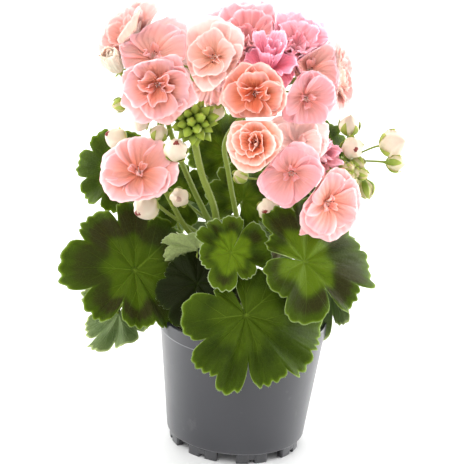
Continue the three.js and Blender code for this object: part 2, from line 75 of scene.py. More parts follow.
# Each leaf: where its stalk joins it, size, the way it faces, the way its tip points, and the branch and the
# share of it where its stalk grows. Then, if they differ from the usual leaf: its droop, how dark its zone is
# and where it starts, how bright its middle and margin are, a knee in its stalk, and the turns and lengths of
# its lobes and notches. patch keeps the zone to the middles of the lobes, wave is a share of the usual
# waves, and shaded marks the leaf in the dark gap over the pot's edge, whose colour is painted shade.
USUAL_LEAF = dict(
    droop=0.12, zone=1.0, zone_from=0.33, margin=0.35, patch=0.15, wave=1, notch=0.74, spread=144,
    lobes=(0.8, 0.9, 0.97, 1, 0.97, 0.9, 0.8))
LEAVES = {
    "leaf_left_front": dict(
        at=(-84, -15, 136), size=59, face=(19, 38), tip=(-68, 2), grows=("left", 0.6), droop=0.1, bright=0.35,
        outline=[(-190, 0.5), (-142, 0.9), (-113, 0.72), (-98, 1), (-78, 0.69), (-58, 0.92), (-33, 0.76),
                 (-8, 0.96), (19, 0.63), (45, 0.84), (62, 0.49), (90, 0.76), (105, 0.72), (117, 0.84),
                 (138, 0.68), (160, 0.76), (190, 0.5)]),
    "leaf_left_high": dict(
        at=(-103, 38, 196), size=36, face=(-15, 22), tip=(-95, 8), grows=("left", 0.9), droop=0.1,
        knee=(-62, 19, 171), zone=0.35, bright=0.35),
    "leaf_left_low": dict(
        at=(-95, 3, 94), size=34, face=(140, -30), tip=(-40, -75), grows=("left", 0.35), droop=0.2,
        knee=(-72, 8, 114), zone=0.2, bright=0.1, wave=2.6),
    "leaf_front": dict(
        at=(1, -62, 125), size=60, face=(15, 28), tip=(60, -57), grows=("trunk", 0.85), droop=0.14, zone=0.25,
        bright=0.28,
        outline=[(-176, 0.3), (-160, 0.5), (-145, 0.45), (-108, 0.8), (-85, 0.61), (-68, 0.87), (-51, 0.82),
                 (-36, 0.97), (-23, 0.54), (-5, 0.91), (12, 0.83), (25, 1.03), (39, 0.95), (54, 1.06),
                 (80, 0.7), (105, 0.85), (135, 0.6), (155, 0.6), (177, 0.35)]),
    "leaf_young": dict(
        at=(-13, -52, 169), size=33, face=(11, 35), tip=(-11, -52), grows=("trunk", 0.95), droop=0.08,
        zone=0.7, bright=0.95, margin=1.1, patch=0.95, wave=1.6,
        outline=[(-194, 0.62), (-175, 0.88), (-153, 0.72), (-138, 0.9), (-125, 0.78), (-110, 0.9),
                 (-93, 0.66), (-66, 0.72), (-38, 0.62), (0, 0.87), (26, 0.48), (50, 0.72), (76, 0.6),
                 (92, 0.97), (113, 0.84), (135, 0.97), (164, 0.6)]),
    "leaf_right": dict(
        at=(41, -42, 162.5), size=55, face=(31, 33), tip=(111, -14), grows=("right", 0.6), zone=0.95,
        bright=0.72, margin=0.45,
        outline=[(-178, 0.33), (-146, 0.66), (-115, 0.61), (-82, 0.83), (-47, 0.45), (-30, 0.94),
                 (-13, 0.83), (5, 1.22), (22, 1), (40, 1.1), (62, 0.8), (86, 0.95), (108, 0.7),
                 (130, 0.85), (150, 0.6), (164, 0.6), (180, 0.33)]),
    "leaf_right_low": dict(
        at=(63, 2, 130), size=43, face=(165, -14), tip=(-30, -76), grows=("right", 0.35), droop=0.1,
        knee=(52, 4, 136), lobes=(0.35, 0.42, 0.75, 1, 0.8, 0.45, 0.35), spread=105, zone=0.3, bright=0.0,
        wave=1.6),
    # This leaf sits in the dark gap over the pot's edge: its zone over the whole blade and its darker
    # material are painted shade.
    "leaf_pot_edge": dict(
        at=(-36, -33, 136), size=38, face=(-5, 40), tip=(-20, -50), grows=("left", 0.3), droop=0.1, notch=0.9,
        lobes=(0.7, 0.7, 0.85, 0.95, 0.9, 0.8, 0.8), spread=168, zone_from=0.0, bright=0.0, margin=0.0,
        shaded=True),
    # This leaf shows its lower face, and its brightness there is painted back-light.
    "leaf_pale": dict(
        at=(-37, -16, 156), size=29, face=(170, 40), tip=(-100, 30), grows=("left", 0.8), droop=0.08,
        lobes=(0.6, 0.8, 0.97, 1, 0.97, 0.8, 0.6), zone=0.0, zone_from=1.2, bright=1.0),
    "leaf_right_high": dict(
        at=(49, 43, 226), size=28, face=(30, 50), tip=(100, 20), grows=("right", 0.9), droop=0.08,
        knee=(36, 36, 200), zone=0.2, bright=0.8, margin=1.0, wave=1.6),
    "leaf_right_middle": dict(
        at=(38, 36, 172), size=36, face=(20, 40), tip=(60, 20), grows=("right", 0.7), notch=0.9, zone=0.9,
        bright=0.3),
    "leaf_middle_high": dict(
        at=(-20, 56, 210), size=36, face=(0, 30), tip=(180, 60), grows=("back", 0.95), notch=0.8, zone=0.2,
        bright=0.6, margin=1.0, wave=1.8),
    "leaf_middle": dict(
        at=(-7, 24, 185), size=32, face=(10, 35), tip=(150, 50), grows=("back", 0.8), notch=0.8, zone=0.2,
        bright=0.6, margin=1.0, wave=1.8),
    "leaf_left_middle": dict(
        at=(-54, 34, 180), size=29, face=(-10, 30), tip=(-100, 30), grows=("back", 0.6), notch=0.8, zone=0.3,
        bright=0.5, margin=1.0, wave=1.8),
    "leaf_back_left": dict(
        at=(-60, 76, 154), size=42, face=(-145, 45), tip=(-130, -20), grows=("back", 0.5), zone=0.7,
        bright=0.4),
    "leaf_back": dict(
        at=(-4, 90, 132), size=50, face=(180, 40), tip=(180, -35), grows=("back", 0.4), zone=0.9,
        bright=0.45),
    "leaf_back_right": dict(
        at=(56, 74, 150), size=40, face=(140, 45), tip=(130, -25), grows=("right", 0.2), zone=0.6,
        bright=0.5),
    "leaf_back_high": dict(
        at=(16, 84, 190), size=36, face=(170, 48), tip=(170, 0), grows=("back", 0.9), zone=0.7, bright=0.4),
}
LARGE_LEAF, FRONT_LEAF = 45, 30
FINE_LEAF_STEPS, LEAF_STEPS = (31, 24), (22, 15)
LEAF_STALK_RADII = (1.6, 1.35, 1.3, 1.0)

# Shares of a leaf's size: the depth of its bowl, of the fold along a lobe, of the quilting, of the frill of
# its teeth, the lap of its first lobe over its last, its waves, and the depth of its teeth.
BOWL, FOLD, QUILT, FRILL, LAP = 0.2, 0.07, 0.006, 0.022, 0.07
THREE_WAVES, FIVE_WAVES = 0.075, 0.04
TOOTH_DEPTH, WIDE_LOBE = 0.05, 33

# Each bloom: its head, place, size, the way it faces, how far it is closed, its form, its colouring and any
# petal that stands out from its form.
BLOOM_KEYS = ("head", "at", "size", "face", "closed", "form", "tint", "extra")
BLOOM_ROWS = {
    # This bloom and bloom_b_far_right take the darker copy of blush, painted shade against the side lights.
    "bloom_a_top_left": ("a", (-93, 14, 303), 27, (-55, 36), 0, "rose", "shell",
                         [(1, 30, 62, 1.35, 1.9, 250, 0, 0.01, 3, 0.3)]),
    "bloom_a_top": ("a", (-80, -3, 297), 31, (2, 48), 0, "open", "coral"),
    "bloom_a_front": ("a", (-74.5, -15, 282), 26.6, (-5, -2), 0, "double", "salmon"),
    "bloom_a_half_open": ("a", (-104, -3, 286), 12, (-46, 54), 0, "goblet", "cream"),
    "bloom_a_back": ("a", (-72, 28, 280), 24, (170, 20), 0, "double", "pink"),
    "bloom_b_left": ("b", (-34.5, -8, 302), 25.5, (-16, 26), 6, "cup", "peach"),
    "bloom_b_top": ("b", (-11, 14, 304), 37, (0, 58), 0, "ruffled", "pink"),
    "bloom_b_middle": ("b", (4, -10, 295), 26, (6, 62), 0, "tulip", "hot"),
    "bloom_b_top_right": ("b", (22, 12, 306), 28, (20, 52), 0, "ruffled", "rose"),
    "bloom_b_right": ("b", (34, 5, 293), 27, (24, 34), 0, "cup", "coral"),
    "bloom_b_far_right": ("b", (48, 16, 288), 24.5, (74, 12), 0, "rose", "shell"),
    "bloom_b_front": ("b", (-4, -25, 284), 22.5, (-5, -8), 0, "double", "orange"),
    "bloom_b_front_right": ("b", (32, -13, 279), 20.4, (22, -4), 0, "open", "pink"),
    "bloom_b_back_left": ("b", (-36, 20, 282), 20, (-45, 0), 0, "open", "coral"),
    "bloom_b_back": ("b", (-4, 42, 288), 24, (180, 20), 0, "double", "salmon"),
    "bloom_b_back_right": ("b", (35, 42, 284), 23, (140, 12), 0, "double", "pink"),
    "bloom_c": ("c", (-84, -22, 213.5), 25.6, (-10, 48), 0, "open", "salmon"),
    "bloom_d_left": ("d", (-0.5, -34, 248.5), 19.5, (-12, 14), 6, "rose", "apricot"),
    "bloom_d_front": ("d", (26.5, -35, 228), 21.8, (-2, 4), 0, "open", "pink"),
    "bloom_d_low": ("d", (53, -31, 206), 23.6, (34, 4), 0, "open", "blush",
                    [(1, 84, 108, 1.15, 0.5, 140, 0, 0.02, 3)]),
    "bloom_d_top": ("d", (29, -9, 241), 24, (5, 36), 0, "cup", "pale"),
    "bloom_d_right": ("d", (46, -3, 230), 16, (40, 30), 0, "tulip", "rose"),
}
BLOOMS = {name: dict(zip(BLOOM_KEYS, row)) for name, row in BLOOM_ROWS.items()}

# Each layer of petals: how many, their lean at root and tip, length and width as shares of the bloom's
# size, turn, height above the bloom's centre, how ruffled and in how many waves, and how uneven they are.
LAYER_KEYS = ("petals", "root", "tip", "length", "width", "turn", "height", "ruffle", "waves", "uneven")
FORMS = {
    "open": [
        (5, 60, 90, 1.1, 2.6, 0, 0, 0.035, 4, 0.4),
        (3, 56, 84, 1.0, 2.4, 30, 0.9, 0.045, 5, 0.5),
        (3, 14, 40, 0.34, 0.3, 20, 1.6, 0.056, 4),
    ],
    "double": [
        (5, 58, 92, 1.1, 2.0, 0, 0, 0.056, 5),
        (4, 48, 78, 0.94, 1.7, 40, 0.9, 0.063, 5),
        (3, 26, 56, 0.6, 0.9, 12, 1.6, 0.098, 5),
        (2, 6, 44, 0.42, 0.4, 50, 2, 0.084, 4),
    ],
    "ruffled": [
        (5, 84, 118, 0.9, 1.8, 15, -1, 0.045, 9),
        (5, 56, 92, 1.1, 1.8, 0, 0, 0.05, 9),
        (5, 42, 74, 0.95, 1.5, 30, 0.9, 0.055, 9),
        (4, 24, 54, 0.76, 1.1, 10, 1.6, 0.07, 9),
        (3, 6, 34, 0.5, 0.7, 50, 2, 0.07, 8),
    ],
    "rose": [
        (5, 56, 80, 1.1, 2.5, 0, 0, 0.03, 4, 0.4),
        (4, 44, 58, 0.96, 2.1, 36, 0.8, 0.03, 4, 0.5),
        (3, 34, 34, 0.74, 1.5, 10, 1.6, 0.042, 4),
        (2, 14, 20, 0.56, 1.0, 50, 2, 0.056, 4),
        (2, 4, 10, 0.44, 0.7, 130, 2.4, 0.056, 4),
    ],
    "cup": [
        (5, 54, 80, 1.12, 2.5, 0, 0, 0.042, 4, 0.5),
        (4, 42, 60, 0.86, 2.0, 40, 0.9, 0.05, 5, 0.6),
        (2, 12, 40, 0.4, 0.35, 10, 1.6, 0.07, 4),
    ],
    "tulip": [
        (5, 74, 98, 0.86, 1.5, 0, -1, 0.084, 8),
        (4, 40, 66, 0.9, 1.1, 36, 0.4, 0.07, 6),
        (4, 22, 20, 1.2, 0.8, 0, 1, 0.028, 3),
        (3, 8, 4, 1.1, 0.65, 50, 1.6, 0.028, 3),
    ],
    "goblet": [
        (4, 58, -24, 1.9, 2.1, 0, 0, 0.004, 3, 0.2),
        (3, 48, -26, 1.8, 1.9, 40, 0, 0.004, 3, 0.2),
        (3, 20, -22, 1.6, 1.2, 10, 1, 0.004, 3, 0.2),
    ],
}

# A petal: the distance of its root from the axis, and, as shares of its size or width, how round its end is
# and how far it is spooned, twisted, dented, fringed, crimped, pleated and grooved.
CLAW_RADIUS = 2.4
ROUND_END, PETAL_SPOON, PETAL_TWIST = 0.13, 0.05, 0.035
DENT, FRINGE, CRIMP, PLEAT, GROOVE = 0.045, 0.012, 0.02, 0.004, 0.006
PETAL_STEPS, SMALL_PETAL_STEPS = (19, 20), (12, 12)

# Where a petal starts to give way to the next bloom, and the gap it keeps, in millimetres.
PETAL_SOFTNESS, PETAL_GAP = 3.5, 0.45

# The rest of a bloom: its hub and calyx, its filaments, with their lengths as shares of its size, and its
# sepals.
HUB_RADII, CALYX_RADII = (2.2, 2.5, 1.2), (1.0, 2.5, 2.7)
FILAMENTS = 7
FILAMENT_LENGTHS = (0.16, 0.26)
SEPALS = 5

# Each colouring: throat, face and rim of a petal, its veins, its back and its lip.
TINT_KEYS = ("throat", "face", "rim", "vein", "back", "lip")
TINTS = {
    "salmon": [(0.75, 0.27, 0.17), (0.76, 0.33, 0.28), (0.76, 0.42, 0.45),
               (0.7, 0.16, 0.11), (0.78, 0.62, 0.6), (0.9, 0.72, 0.7)],
    "coral": [(0.87, 0.45, 0.35), (0.87, 0.46, 0.43), (0.86, 0.47, 0.5),
              (0.8, 0.26, 0.22), (0.88, 0.7, 0.72), (0.93, 0.68, 0.72)],
    "pink": [(0.79, 0.33, 0.27), (0.8, 0.38, 0.39), (0.8, 0.39, 0.44),
             (0.74, 0.21, 0.21), (0.82, 0.62, 0.64), (0.86, 0.58, 0.61)],
    "rose": [(0.86, 0.37, 0.37), (0.87, 0.42, 0.49), (0.87, 0.43, 0.52),
             (0.8, 0.24, 0.26), (0.84, 0.62, 0.67), (0.88, 0.57, 0.65)],
    "hot": [(0.84, 0.25, 0.32), (0.87, 0.32, 0.43), (0.9, 0.46, 0.57),
            (0.77, 0.13, 0.22), (0.88, 0.32, 0.44), (0.93, 0.62, 0.72)],
    "peach": [(0.87, 0.42, 0.28), (0.89, 0.51, 0.45), (0.89, 0.57, 0.55),
              (0.83, 0.34, 0.24), (0.91, 0.85, 0.8), (0.93, 0.85, 0.78)],
    "orange": [(0.76, 0.2, 0.1), (0.75, 0.23, 0.13), (0.78, 0.38, 0.34),
               (0.66, 0.12, 0.04), (0.85, 0.7, 0.62), (0.92, 0.76, 0.66)],
    "apricot": [(0.84, 0.27, 0.14), (0.83, 0.3, 0.17), (0.85, 0.52, 0.46),
                (0.76, 0.2, 0.1), (0.87, 0.78, 0.7), (0.91, 0.78, 0.71)],
    "blush": [(0.86, 0.34, 0.24), (0.85, 0.4, 0.37), (0.85, 0.43, 0.46),
              (0.8, 0.31, 0.26), (0.84, 0.71, 0.58), (0.9, 0.68, 0.64)],
    # A darker copy of blush: painted shade for the two blooms at the far sides, which the side lights
    # brighten.
    "shell": [(0.73, 0.32, 0.24), (0.67, 0.35, 0.31), (0.65, 0.38, 0.37),
              (0.68, 0.28, 0.22), (0.64, 0.57, 0.46), (0.72, 0.52, 0.48)],
    "pale": [(0.96, 0.62, 0.55), (0.97, 0.71, 0.67), (0.97, 0.68, 0.67),
             (0.92, 0.6, 0.58), (0.95, 0.8, 0.8), (0.95, 0.85, 0.85)],
    "cream": [(0.78, 0.46, 0.34), (0.76, 0.63, 0.52), (0.76, 0.6, 0.5),
              (0.74, 0.58, 0.44), (0.74, 0.72, 0.57), (0.82, 0.74, 0.62)],
}

# Each flower head: the point its thin stalks spread from, where its thick stalk grows, points on its way,
# its thickness, and its young buds: how many, and how far their middle is from that point.
HEADS = {
    "a": dict(at=(-72, 6, 276), grows=("left", 0.97), via=[(-46, 4, 200), (-66, 6, 245)], radius=2),
    "b": dict(at=(4, 8, 276), grows=("trunk", 0.98), via=[(-6, 3, 160), (-19, 2, 212), (-23, 2, 237)],
              radius=1.9),
    "c": dict(at=(-68, 0, 200), grows=("left", 0.7), via=[(-45, 0, 164)], radius=1.9),
    "d": dict(at=(30, -4, 212), grows=("right", 0.8), via=[(26, 0, 185)], radius=1.9),
    "e": dict(at=(66, 14, 225), grows=("right", 0.97), via=[(50, 16, 195)], radius=1.9, young=22,
              young_shift=(1, -7, -4)),
    "f": dict(at=(-47, -8, 243), grows=("left", 0.88), via=[(-28, -8, 188), (-39, -8, 214)], radius=2.5),
}
GREEN_HEAD = "f"
GREEN_BUDS = 40
GREEN_CORE = 9
SEPAL_FOOT = 2.6
PEDICEL_RADIUS = 0.9

# Each bud: its head, place, size, the way it points and the share of it that its sepals cover.
BUDS = [
    ("a", (-102, -9, 262), 5, (-60, -10), 1.0),
    ("a", (-86, -8, 249), 6, (-20, -45), 0.6),
    ("a", (-72, -4, 241), 6.5, (20, 60), 0.85),
    ("a", (-48, -2, 286), 4, (60, -30), 1.0),
    ("b", (-32, 12, 256), 7, (-30, -50), 0.5),
    ("c", (-104, 2, 233), 8, (-60, 25), 0.4),
    ("c", (-58.5, -23, 235), 8.5, (5, 50), 0.45),
    ("c", (-78, -19, 188), 9.5, (-35, -14), 0.4),
    ("c", (-54, -12, 195), 7, (0, 10), 0.55),
    ("d", (12, -18, 193), 8, (-15, 5), 0.5),
    ("d", (-10, -8, 214), 5.5, (-40, 20), 1.0),
    ("e", (68, 14, 252), 7.5, (5, 75), 0.8),
    ("e", (71, 1, 239), 8, (15, 12), 0.45),
    ("e", (101, 13, 241), 10, (50, 22), 0.6),
    ("e", (104, 10, 227), 6.5, (85, 0), 0.9),
    ("e", (76, 5, 226), 5.5, (40, -5), 1.0),
    ("e", (84, 9, 206), 6.5, (50, -65), 1.0),
    ("e", (62, 22, 210), 6, (160, -40), 0.8),
]
GROWN_BUD = 4.5
BUD_LOW, BUD_HEIGHT = 1.1, 2.35

# Arrays of points


def unit(vectors):
    """Vectors brought to length one along the last axis."""
    return vectors / np.maximum(np.linalg.norm(vectors, axis=-1, keepdims=True), 1e-9)


def direction(angles):
    """A direction from its turn (0 is the front, 90 the right) and its tilt above the horizon, in degrees."""
    turn, tilt = np.radians(angles)
    return np.array([np.sin(turn) * np.cos(tilt), -np.cos(turn) * np.cos(tilt), np.sin(tilt)])


def frame_along(face):
    """Three unit vectors as rows: two across the direction face and the direction itself."""
    up = direction(face)
    helper = np.array([1.0, 0, 0]) if abs(up[0]) < 0.8 else np.array([0, 1.0, 0])
    side = unit(np.cross(up, helper))
    return np.stack([side, np.cross(up, side), up])


def smooth_step(low, high, x):
    """0 below low, 1 above high and a smooth S between them."""
    t = np.clip((x - low) / (high - low), 0, 1)
    return t * t * (3 - 2 * t)


def column(low, high, count):
    """Even steps from low to high, one below the other."""
    return np.linspace(low, high, count)[:, None]


def row(low, high, count):
    """Even steps from low to high, side by side."""
    return np.linspace(low, high, count)[None, :]


def full_turn(count):
    """Even angles round a circle, one below the other."""
    return np.linspace(0, 2 * np.pi, count, endpoint=False)[:, None]


def stacked(*parts):
    """Arrays brought to one shape and put side by side along a new last axis."""
    return np.stack(np.broadcast_arrays(*parts), -1)


def turned(radius, angle, height):
    """Points at a radius and an angle round the third axis, and at a height along it."""
    return stacked(radius * np.cos(angle), radius * np.sin(angle), height)


def about(radius, angle, height):
    """Points at a radius and an angle round the pot's axis, counted from the front, and at a height."""
    return stacked(radius * np.sin(angle), -radius * np.cos(angle), height)


def ball(tall, wide):
    """A ball of radius one, from pole to pole in tall steps and round in wide ones."""
    lat = row(0, np.pi, tall)
    return turned(np.sin(lat), full_turn(wide), -np.cos(lat))


def egg(share):
    """The radius of an egg of size one at a share of its height: a rounded sine, widest below its middle."""
    return 0.97 * np.sin(np.pi * share**0.85) ** 0.75


def sepal_width(widest, along):
    """Half the width of a sepal at a share of its length: widest near its foot and pointed at its tip."""
    return widest * np.sin(np.pi * (0.15 + 0.85 * along)) ** 0.8 + 0.05


def path_through(points, count):
    """A smooth path through points: a cubic in each span whose slopes come from the neighbouring points, with
    knots spaced by the root of the distances, read at count even steps of its length."""
    p = np.array(points, float)
    knots = np.concatenate([[0], np.cumsum(np.sqrt(np.linalg.norm(np.diff(p, axis=0), axis=1)))])
    slopes = np.gradient(p, knots, axis=0)
    t = np.linspace(0, knots[-1], 12 * count)
    i = np.clip(np.searchsorted(knots, t, side="right") - 1, 0, len(p) - 2)
    span = (knots[i + 1] - knots[i])[:, None]
    u = ((t - knots[i]) / span[:, 0])[:, None]
    curve = (
        (2 * u**3 - 3 * u**2 + 1) * p[i]
        + (u**3 - 2 * u**2 + u) * span * slopes[i]
        + (3 * u**2 - 2 * u**3) * p[i + 1]
        + (u**3 - u**2) * span * slopes[i + 1]
    )
    length = np.concatenate([[0], np.cumsum(np.linalg.norm(np.diff(curve, axis=0), axis=1))])
    even = np.linspace(0, length[-1], count)
    return np.stack([np.interp(even, length, curve[:, k]) for k in range(3)], -1)


def tube(points, radii, steps, sides):
    """Rings of points carried along a smooth path: each ring is a circle square to the path, its radius read
    along radii. It gives a grid of steps by sides, and the outward direction at each point."""
    path = path_through(points, steps)
    along = unit(np.gradient(path, axis=0))
    helper = np.eye(3)[np.argmin(np.abs(path[-1] - path[0]))]
    across = unit(np.cross(along, helper))
    other = np.cross(along, across)
    angle = full_turn(sides)[None]
    out = across[:, None] * np.cos(angle) + other[:, None] * np.sin(angle)
    radius = np.interp(np.linspace(0, 1, steps), np.linspace(0, 1, len(radii)), radii)
    return path[:, None] + out * radius[:, None, None], out


def branch_point(branch, share):
    """The point on a branch's middle line at that share of its length."""
    return path_through(BRANCHES[branch], 41)[int(round(share * 40))]


def surface_normals(grid):
    """The unit normal of a grid surface at each of its points, from its slopes both ways."""
    normals = np.cross(np.gradient(grid, axis=0), np.gradient(grid, axis=1))
    blank = np.linalg.norm(normals, axis=-1) < 1e-9
    normals[blank] = np.mean(normals[~blank], axis=0)
    return unit(normals)


def fan(ring):
    """Cells that close a ring of point numbers, from its first point to each of its sides."""
    first = np.full(len(ring) - 2, ring[0])
    return np.stack([first, ring[2:], ring[1:-1], ring[1:-1]], -1)


def rim_taper(rows, columns):
    """A share for a blade's thickness: 1 inside and a quarter at its rim, over the grid's outer tenth."""
    outward = np.maximum(np.abs(column(-1, 1, rows)), np.abs(row(-1, 1, columns)))
    return 0.25 + 0.75 * (1 - smooth_step(0.8, 1, outward))


class Surfaces:
    """Grids of points gathered into one mesh. Each grid has a look, the number of its material, a pair of
    pattern coordinates and three tones, which the materials read."""

    def __init__(self):
        self.points, self.cells, self.pattern, self.tones, self.looks = [], [], [], [], []
        self.size = 0

    def add(self, points, cells, pattern, tones, look):
        """Adds points in any shape with the corner numbers of their cells."""
        points = points.reshape(-1, 3)
        self.points.append(points)
        self.cells.append(cells + self.size)
        self.pattern.append(np.broadcast_to(pattern, points.shape[:1] + (2,)))
        self.tones.append(np.broadcast_to(tones, points.shape[:1] + (3,)))
        self.looks.append(np.full(len(cells), look))
        self.size += len(points)

    @staticmethod
    def numbered(points, pattern, tones, close=False, pole=False):
        """A grid's point numbers and four-cornered cells, and its pattern and tones as lists. close joins the
        last row to the first, and pole draws the first column together."""
        rows, columns = points.shape[:2]
        index = np.arange(rows * columns).reshape(rows, columns)
        if pole:
            index[:, 0] = 0
        if close:
            index = np.vstack([index, index[:1]])
        corners = [index[:-1, :-1], index[1:, :-1], index[1:, 1:], index[:-1, 1:]]
        cells = np.stack(corners, -1).reshape(-1, 4)
        pattern = np.broadcast_to(pattern, (rows, columns, 2)).reshape(-1, 2)
        tones = np.broadcast_to(tones, (rows, columns, 3)).reshape(-1, 3)
        return index, cells, pattern, tones

    def grid(self, points, look=0, pattern=(0, 0), tones=(0, 0, 0), close=False, pole=False, flip=False,
             caps=False):
        """A grid of rows by columns. flip turns the faces round, and caps closes both open ends of a grid
        that runs round in its columns with a fan."""
        index, cells, pattern, tones = self.numbered(points, pattern, tones, close, pole)
        if caps:
            cells = np.vstack([cells, fan(index[:, 0]), fan(index[:, -1])[:, ::-1]])
        self.add(points, cells[:, ::-1] if flip else cells, pattern, tones, look)

    def blade(self, points, thickness, look, pattern, tones=(0, 0, 0), pole=False):
        """A thin blade: a grid surface given half its thickness to each side along its normals, and closed by
        a wall round it. The third tone is 0 on the upper face and 1 on the lower."""
        lift = surface_normals(points) * (thickness / 2)[..., None]
        index, top, pattern, upper = self.numbered(points, pattern, tones, pole=pole)
        under = points.shape[0] * points.shape[1]
        ring = np.concatenate([index[0], index[1:, -1], index[-1, -2::-1], index[-2::-1, 0]])
        wall = np.stack([ring[:-1], ring[1:], ring[1:] + under, ring[:-1] + under], -1)
        both = np.concatenate([(points + lift).reshape(-1, 3), (points - lift).reshape(-1, 3)])
        cells = np.concatenate([top, top[:, ::-1] + under, wall])
        tones = np.concatenate([upper, upper * (1, 1, 0) + (0, 0, 1)])
        self.add(both, cells, np.tile(pattern, (2, 1)), tones, look)

    def tube(self, points, radii, steps, sides, look, tones=(0, 0, 0)):
        """A closed tube along a smooth path. Its second pattern coordinate is the share of its length."""
        rings, out = tube(points, radii, steps, sides)
        pattern = stacked(np.arange(sides)[:, None] / sides, row(0, 1, steps))
        self.grid(rings.transpose(1, 0, 2), look, pattern, tones, close=True, caps=True)
        return rings, out

    def spikes(self, feet, ways, length, width, look):
        """Fine hairs: at each foot a three-sided spike of that length along its way."""
        ways = unit(ways)
        count = len(feet)
        helper = np.where(np.abs(ways[:, :1]) < 0.8, [[1.0, 0, 0]], [[0, 1.0, 0]])
        across = unit(np.cross(ways, helper))
        other = np.cross(ways, across)
        angle = full_turn(3)[None]
        ring = across[:, None] * np.cos(angle) + other[:, None] * np.sin(angle)
        base = feet[:, None] + ring * width / 2
        tip = feet + ways * length[:, None]
        points = np.concatenate([base, tip[:, None]], 1)
        cells = np.array([[0, 1, 3, 3], [1, 2, 3, 3], [2, 0, 3, 3], [0, 2, 1, 1]])
        numbers = (cells[None] + 4 * np.arange(count)[:, None, None]).reshape(-1, 4)
        self.add(points, numbers, (0, 0), (0, 0, 0), look)

    def down(self, rings, out, count, lengths, width, look, rng):
        """Down on a tube: spikes at random points of its rings, leaning a little from square."""
        steps, sides = rings.shape[:2]
        ring, side = rng.integers(2, steps - 2, count), rng.integers(0, sides, count)
        ways = out[ring, side] + rng.normal(0, 0.25, (count, 3))
        self.spikes(rings[ring, side], ways, rng.uniform(*lengths, count), width, look)

    def piece(self, name, looks, replaced, slot):
        """Makes the mesh, in metres, as one smooth object that stands for a CAD node."""
        points = np.concatenate(self.points) * MM
        cells = np.concatenate(self.cells)
        kept = cells != np.roll(cells, 1, axis=1)
        whole = kept.sum(1) >= 3
        cells, kept = cells[whole], kept[whole]
        loops, totals = cells[kept], kept.sum(1)
        starts = np.concatenate([[0], np.cumsum(totals)[:-1]])
        mesh = bpy.data.meshes.new(name)
        mesh.vertices.add(len(points))
        mesh.vertices.foreach_set("co", points.astype(np.float32).ravel())
        mesh.loops.add(len(loops))
        mesh.loops.foreach_set("vertex_index", loops.astype(np.int32))
        mesh.polygons.add(len(totals))
        mesh.polygons.foreach_set("loop_start", starts.astype(np.int32))
        mesh.polygons.foreach_set("material_index", np.concatenate(self.looks)[whole].astype(np.int32))
        mesh.polygons.foreach_set("use_smooth", np.ones(len(totals), bool))
        mesh.update(calc_edges=True)
        pattern = mesh.uv_layers.new(name="pattern")
        pattern.data.foreach_set("uv", np.concatenate(self.pattern)[loops].astype(np.float32).ravel())
        tones = np.concatenate([np.concatenate(self.tones), np.ones((len(points), 1))], 1)
        layer = mesh.color_attributes.new(name="tones", type="FLOAT_COLOR", domain="POINT")
        layer.data.foreach_set("color", tones.astype(np.float32).ravel())
        for look in looks:
            mesh.materials.append(look)
        piece = bpy.data.objects.new(name, mesh)
        bpy.context.scene.collection.objects.link(piece)
        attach(piece, "root")
        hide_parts(replaced)


# Materials


class Quantity:
    """A number or colour that nodes work out. Each sum, difference, product or quotient adds a Math node."""

    def __init__(self, shade, socket):
        self.shade, self.socket = shade, socket

    def math(self, operation, other=0.0):
        """What a Math node makes of this quantity and another."""
        return self.shade.math(operation, self, other)

    def __add__(self, other):
        return self.math("ADD", other)

    def __sub__(self, other):
        return self.math("SUBTRACT", other)

    def __rsub__(self, other):
        return self.shade.math("SUBTRACT", other, self)

    def __mul__(self, other):
        return self.math("MULTIPLY", other)

    def __truediv__(self, other):
        return self.math("DIVIDE", other)

    def clamped(self):
        """The same result, held between 0 and 1."""
        self.socket.node.use_clamp = True
        return self


class Shading:
    """A node material built by short calls. Each call adds one node and gives back what it works out."""

    def __init__(self, name):
        self.material = bpy.data.materials.new(name)
        self.material.use_nodes = True
        self.tree = self.material.node_tree
        self.tree.nodes.clear()

    def node(self, kind, values=(), **settings):
        """A node with its settings and inputs set, or linked where the value comes from another node."""
        made = self.tree.nodes.new("ShaderNode" + kind)
        for name, value in settings.items():
            setattr(made, name, value)
        for key, value in dict(values).items():
            socket = made.inputs[key]
            if isinstance(value, Quantity):
                self.tree.links.new(value.socket, socket)
            elif socket.type == "RGBA":
                socket.default_value = (*value, 1)
            else:
                socket.default_value = value
        return [Quantity(self, output) for output in made.outputs]

    def math(self, operation, a, b=0.0):
        """What a Math node makes of two numbers."""
        return self.node("Math", {0: a, 1: b}, operation=operation)[0]

    def step(self, low, high, value):
        """0 below low, 1 above high, smooth between."""
        values = {"Value": value, "From Min": low, "From Max": high}
        return self.node("MapRange", values, interpolation_type="SMOOTHSTEP")[0]

    def mix(self, share, a, b):
        """Colour a at share 0 and colour b at share 1."""
        return self.node("Mix", {0: share, 6: a, 7: b}, data_type="RGBA")[2]

    def object_place(self):
        """The place in the piece's own frame, in metres."""
        return self.node("TexCoord")[3]

    def pattern(self):
        """The two pattern coordinates."""
        return self.node("SeparateXYZ", {0: self.node("UVMap", uv_map="pattern")[0]})[:2]

    def tones(self):
        """The three tones."""
        return self.node("SeparateColor", {0: self.node("VertexColor", layer_name="tones")[0]})

    def noise(self, scale, detail, roughness=0.5):
        """A cloudy noise between 0 and 1."""
        values = {"Vector": self.object_place(), "Scale": scale, "Detail": detail, "Roughness": roughness}
        return self.node("TexNoise", values)[0]

    def cells(self, scale, feature="F1"):
        """The distances of a pattern of cells, to their middles or their edges."""
        return self.node("TexVoronoi", {"Vector": self.object_place(), "Scale": scale}, feature=feature)[0]

    def bump(self, height, distance, strength=1.0):
        """A normal bent by a height, which is a share of the distance in metres."""
        return self.node("Bump", {"Height": height, "Distance": distance, "Strength": strength})[0]

    def finish(self, base, roughness, **more):
        """The surface shader with named sockets, and the material's output."""
        more = {name.replace("_", " "): value for name, value in more.items()}
        values = {"Base Color": base, "Roughness": roughness, **more}
        shader = self.node("BsdfPrincipled", values, subsurface_method="BURLEY")[0]
        self.node("OutputMaterial", {0: shader})
        return self.material


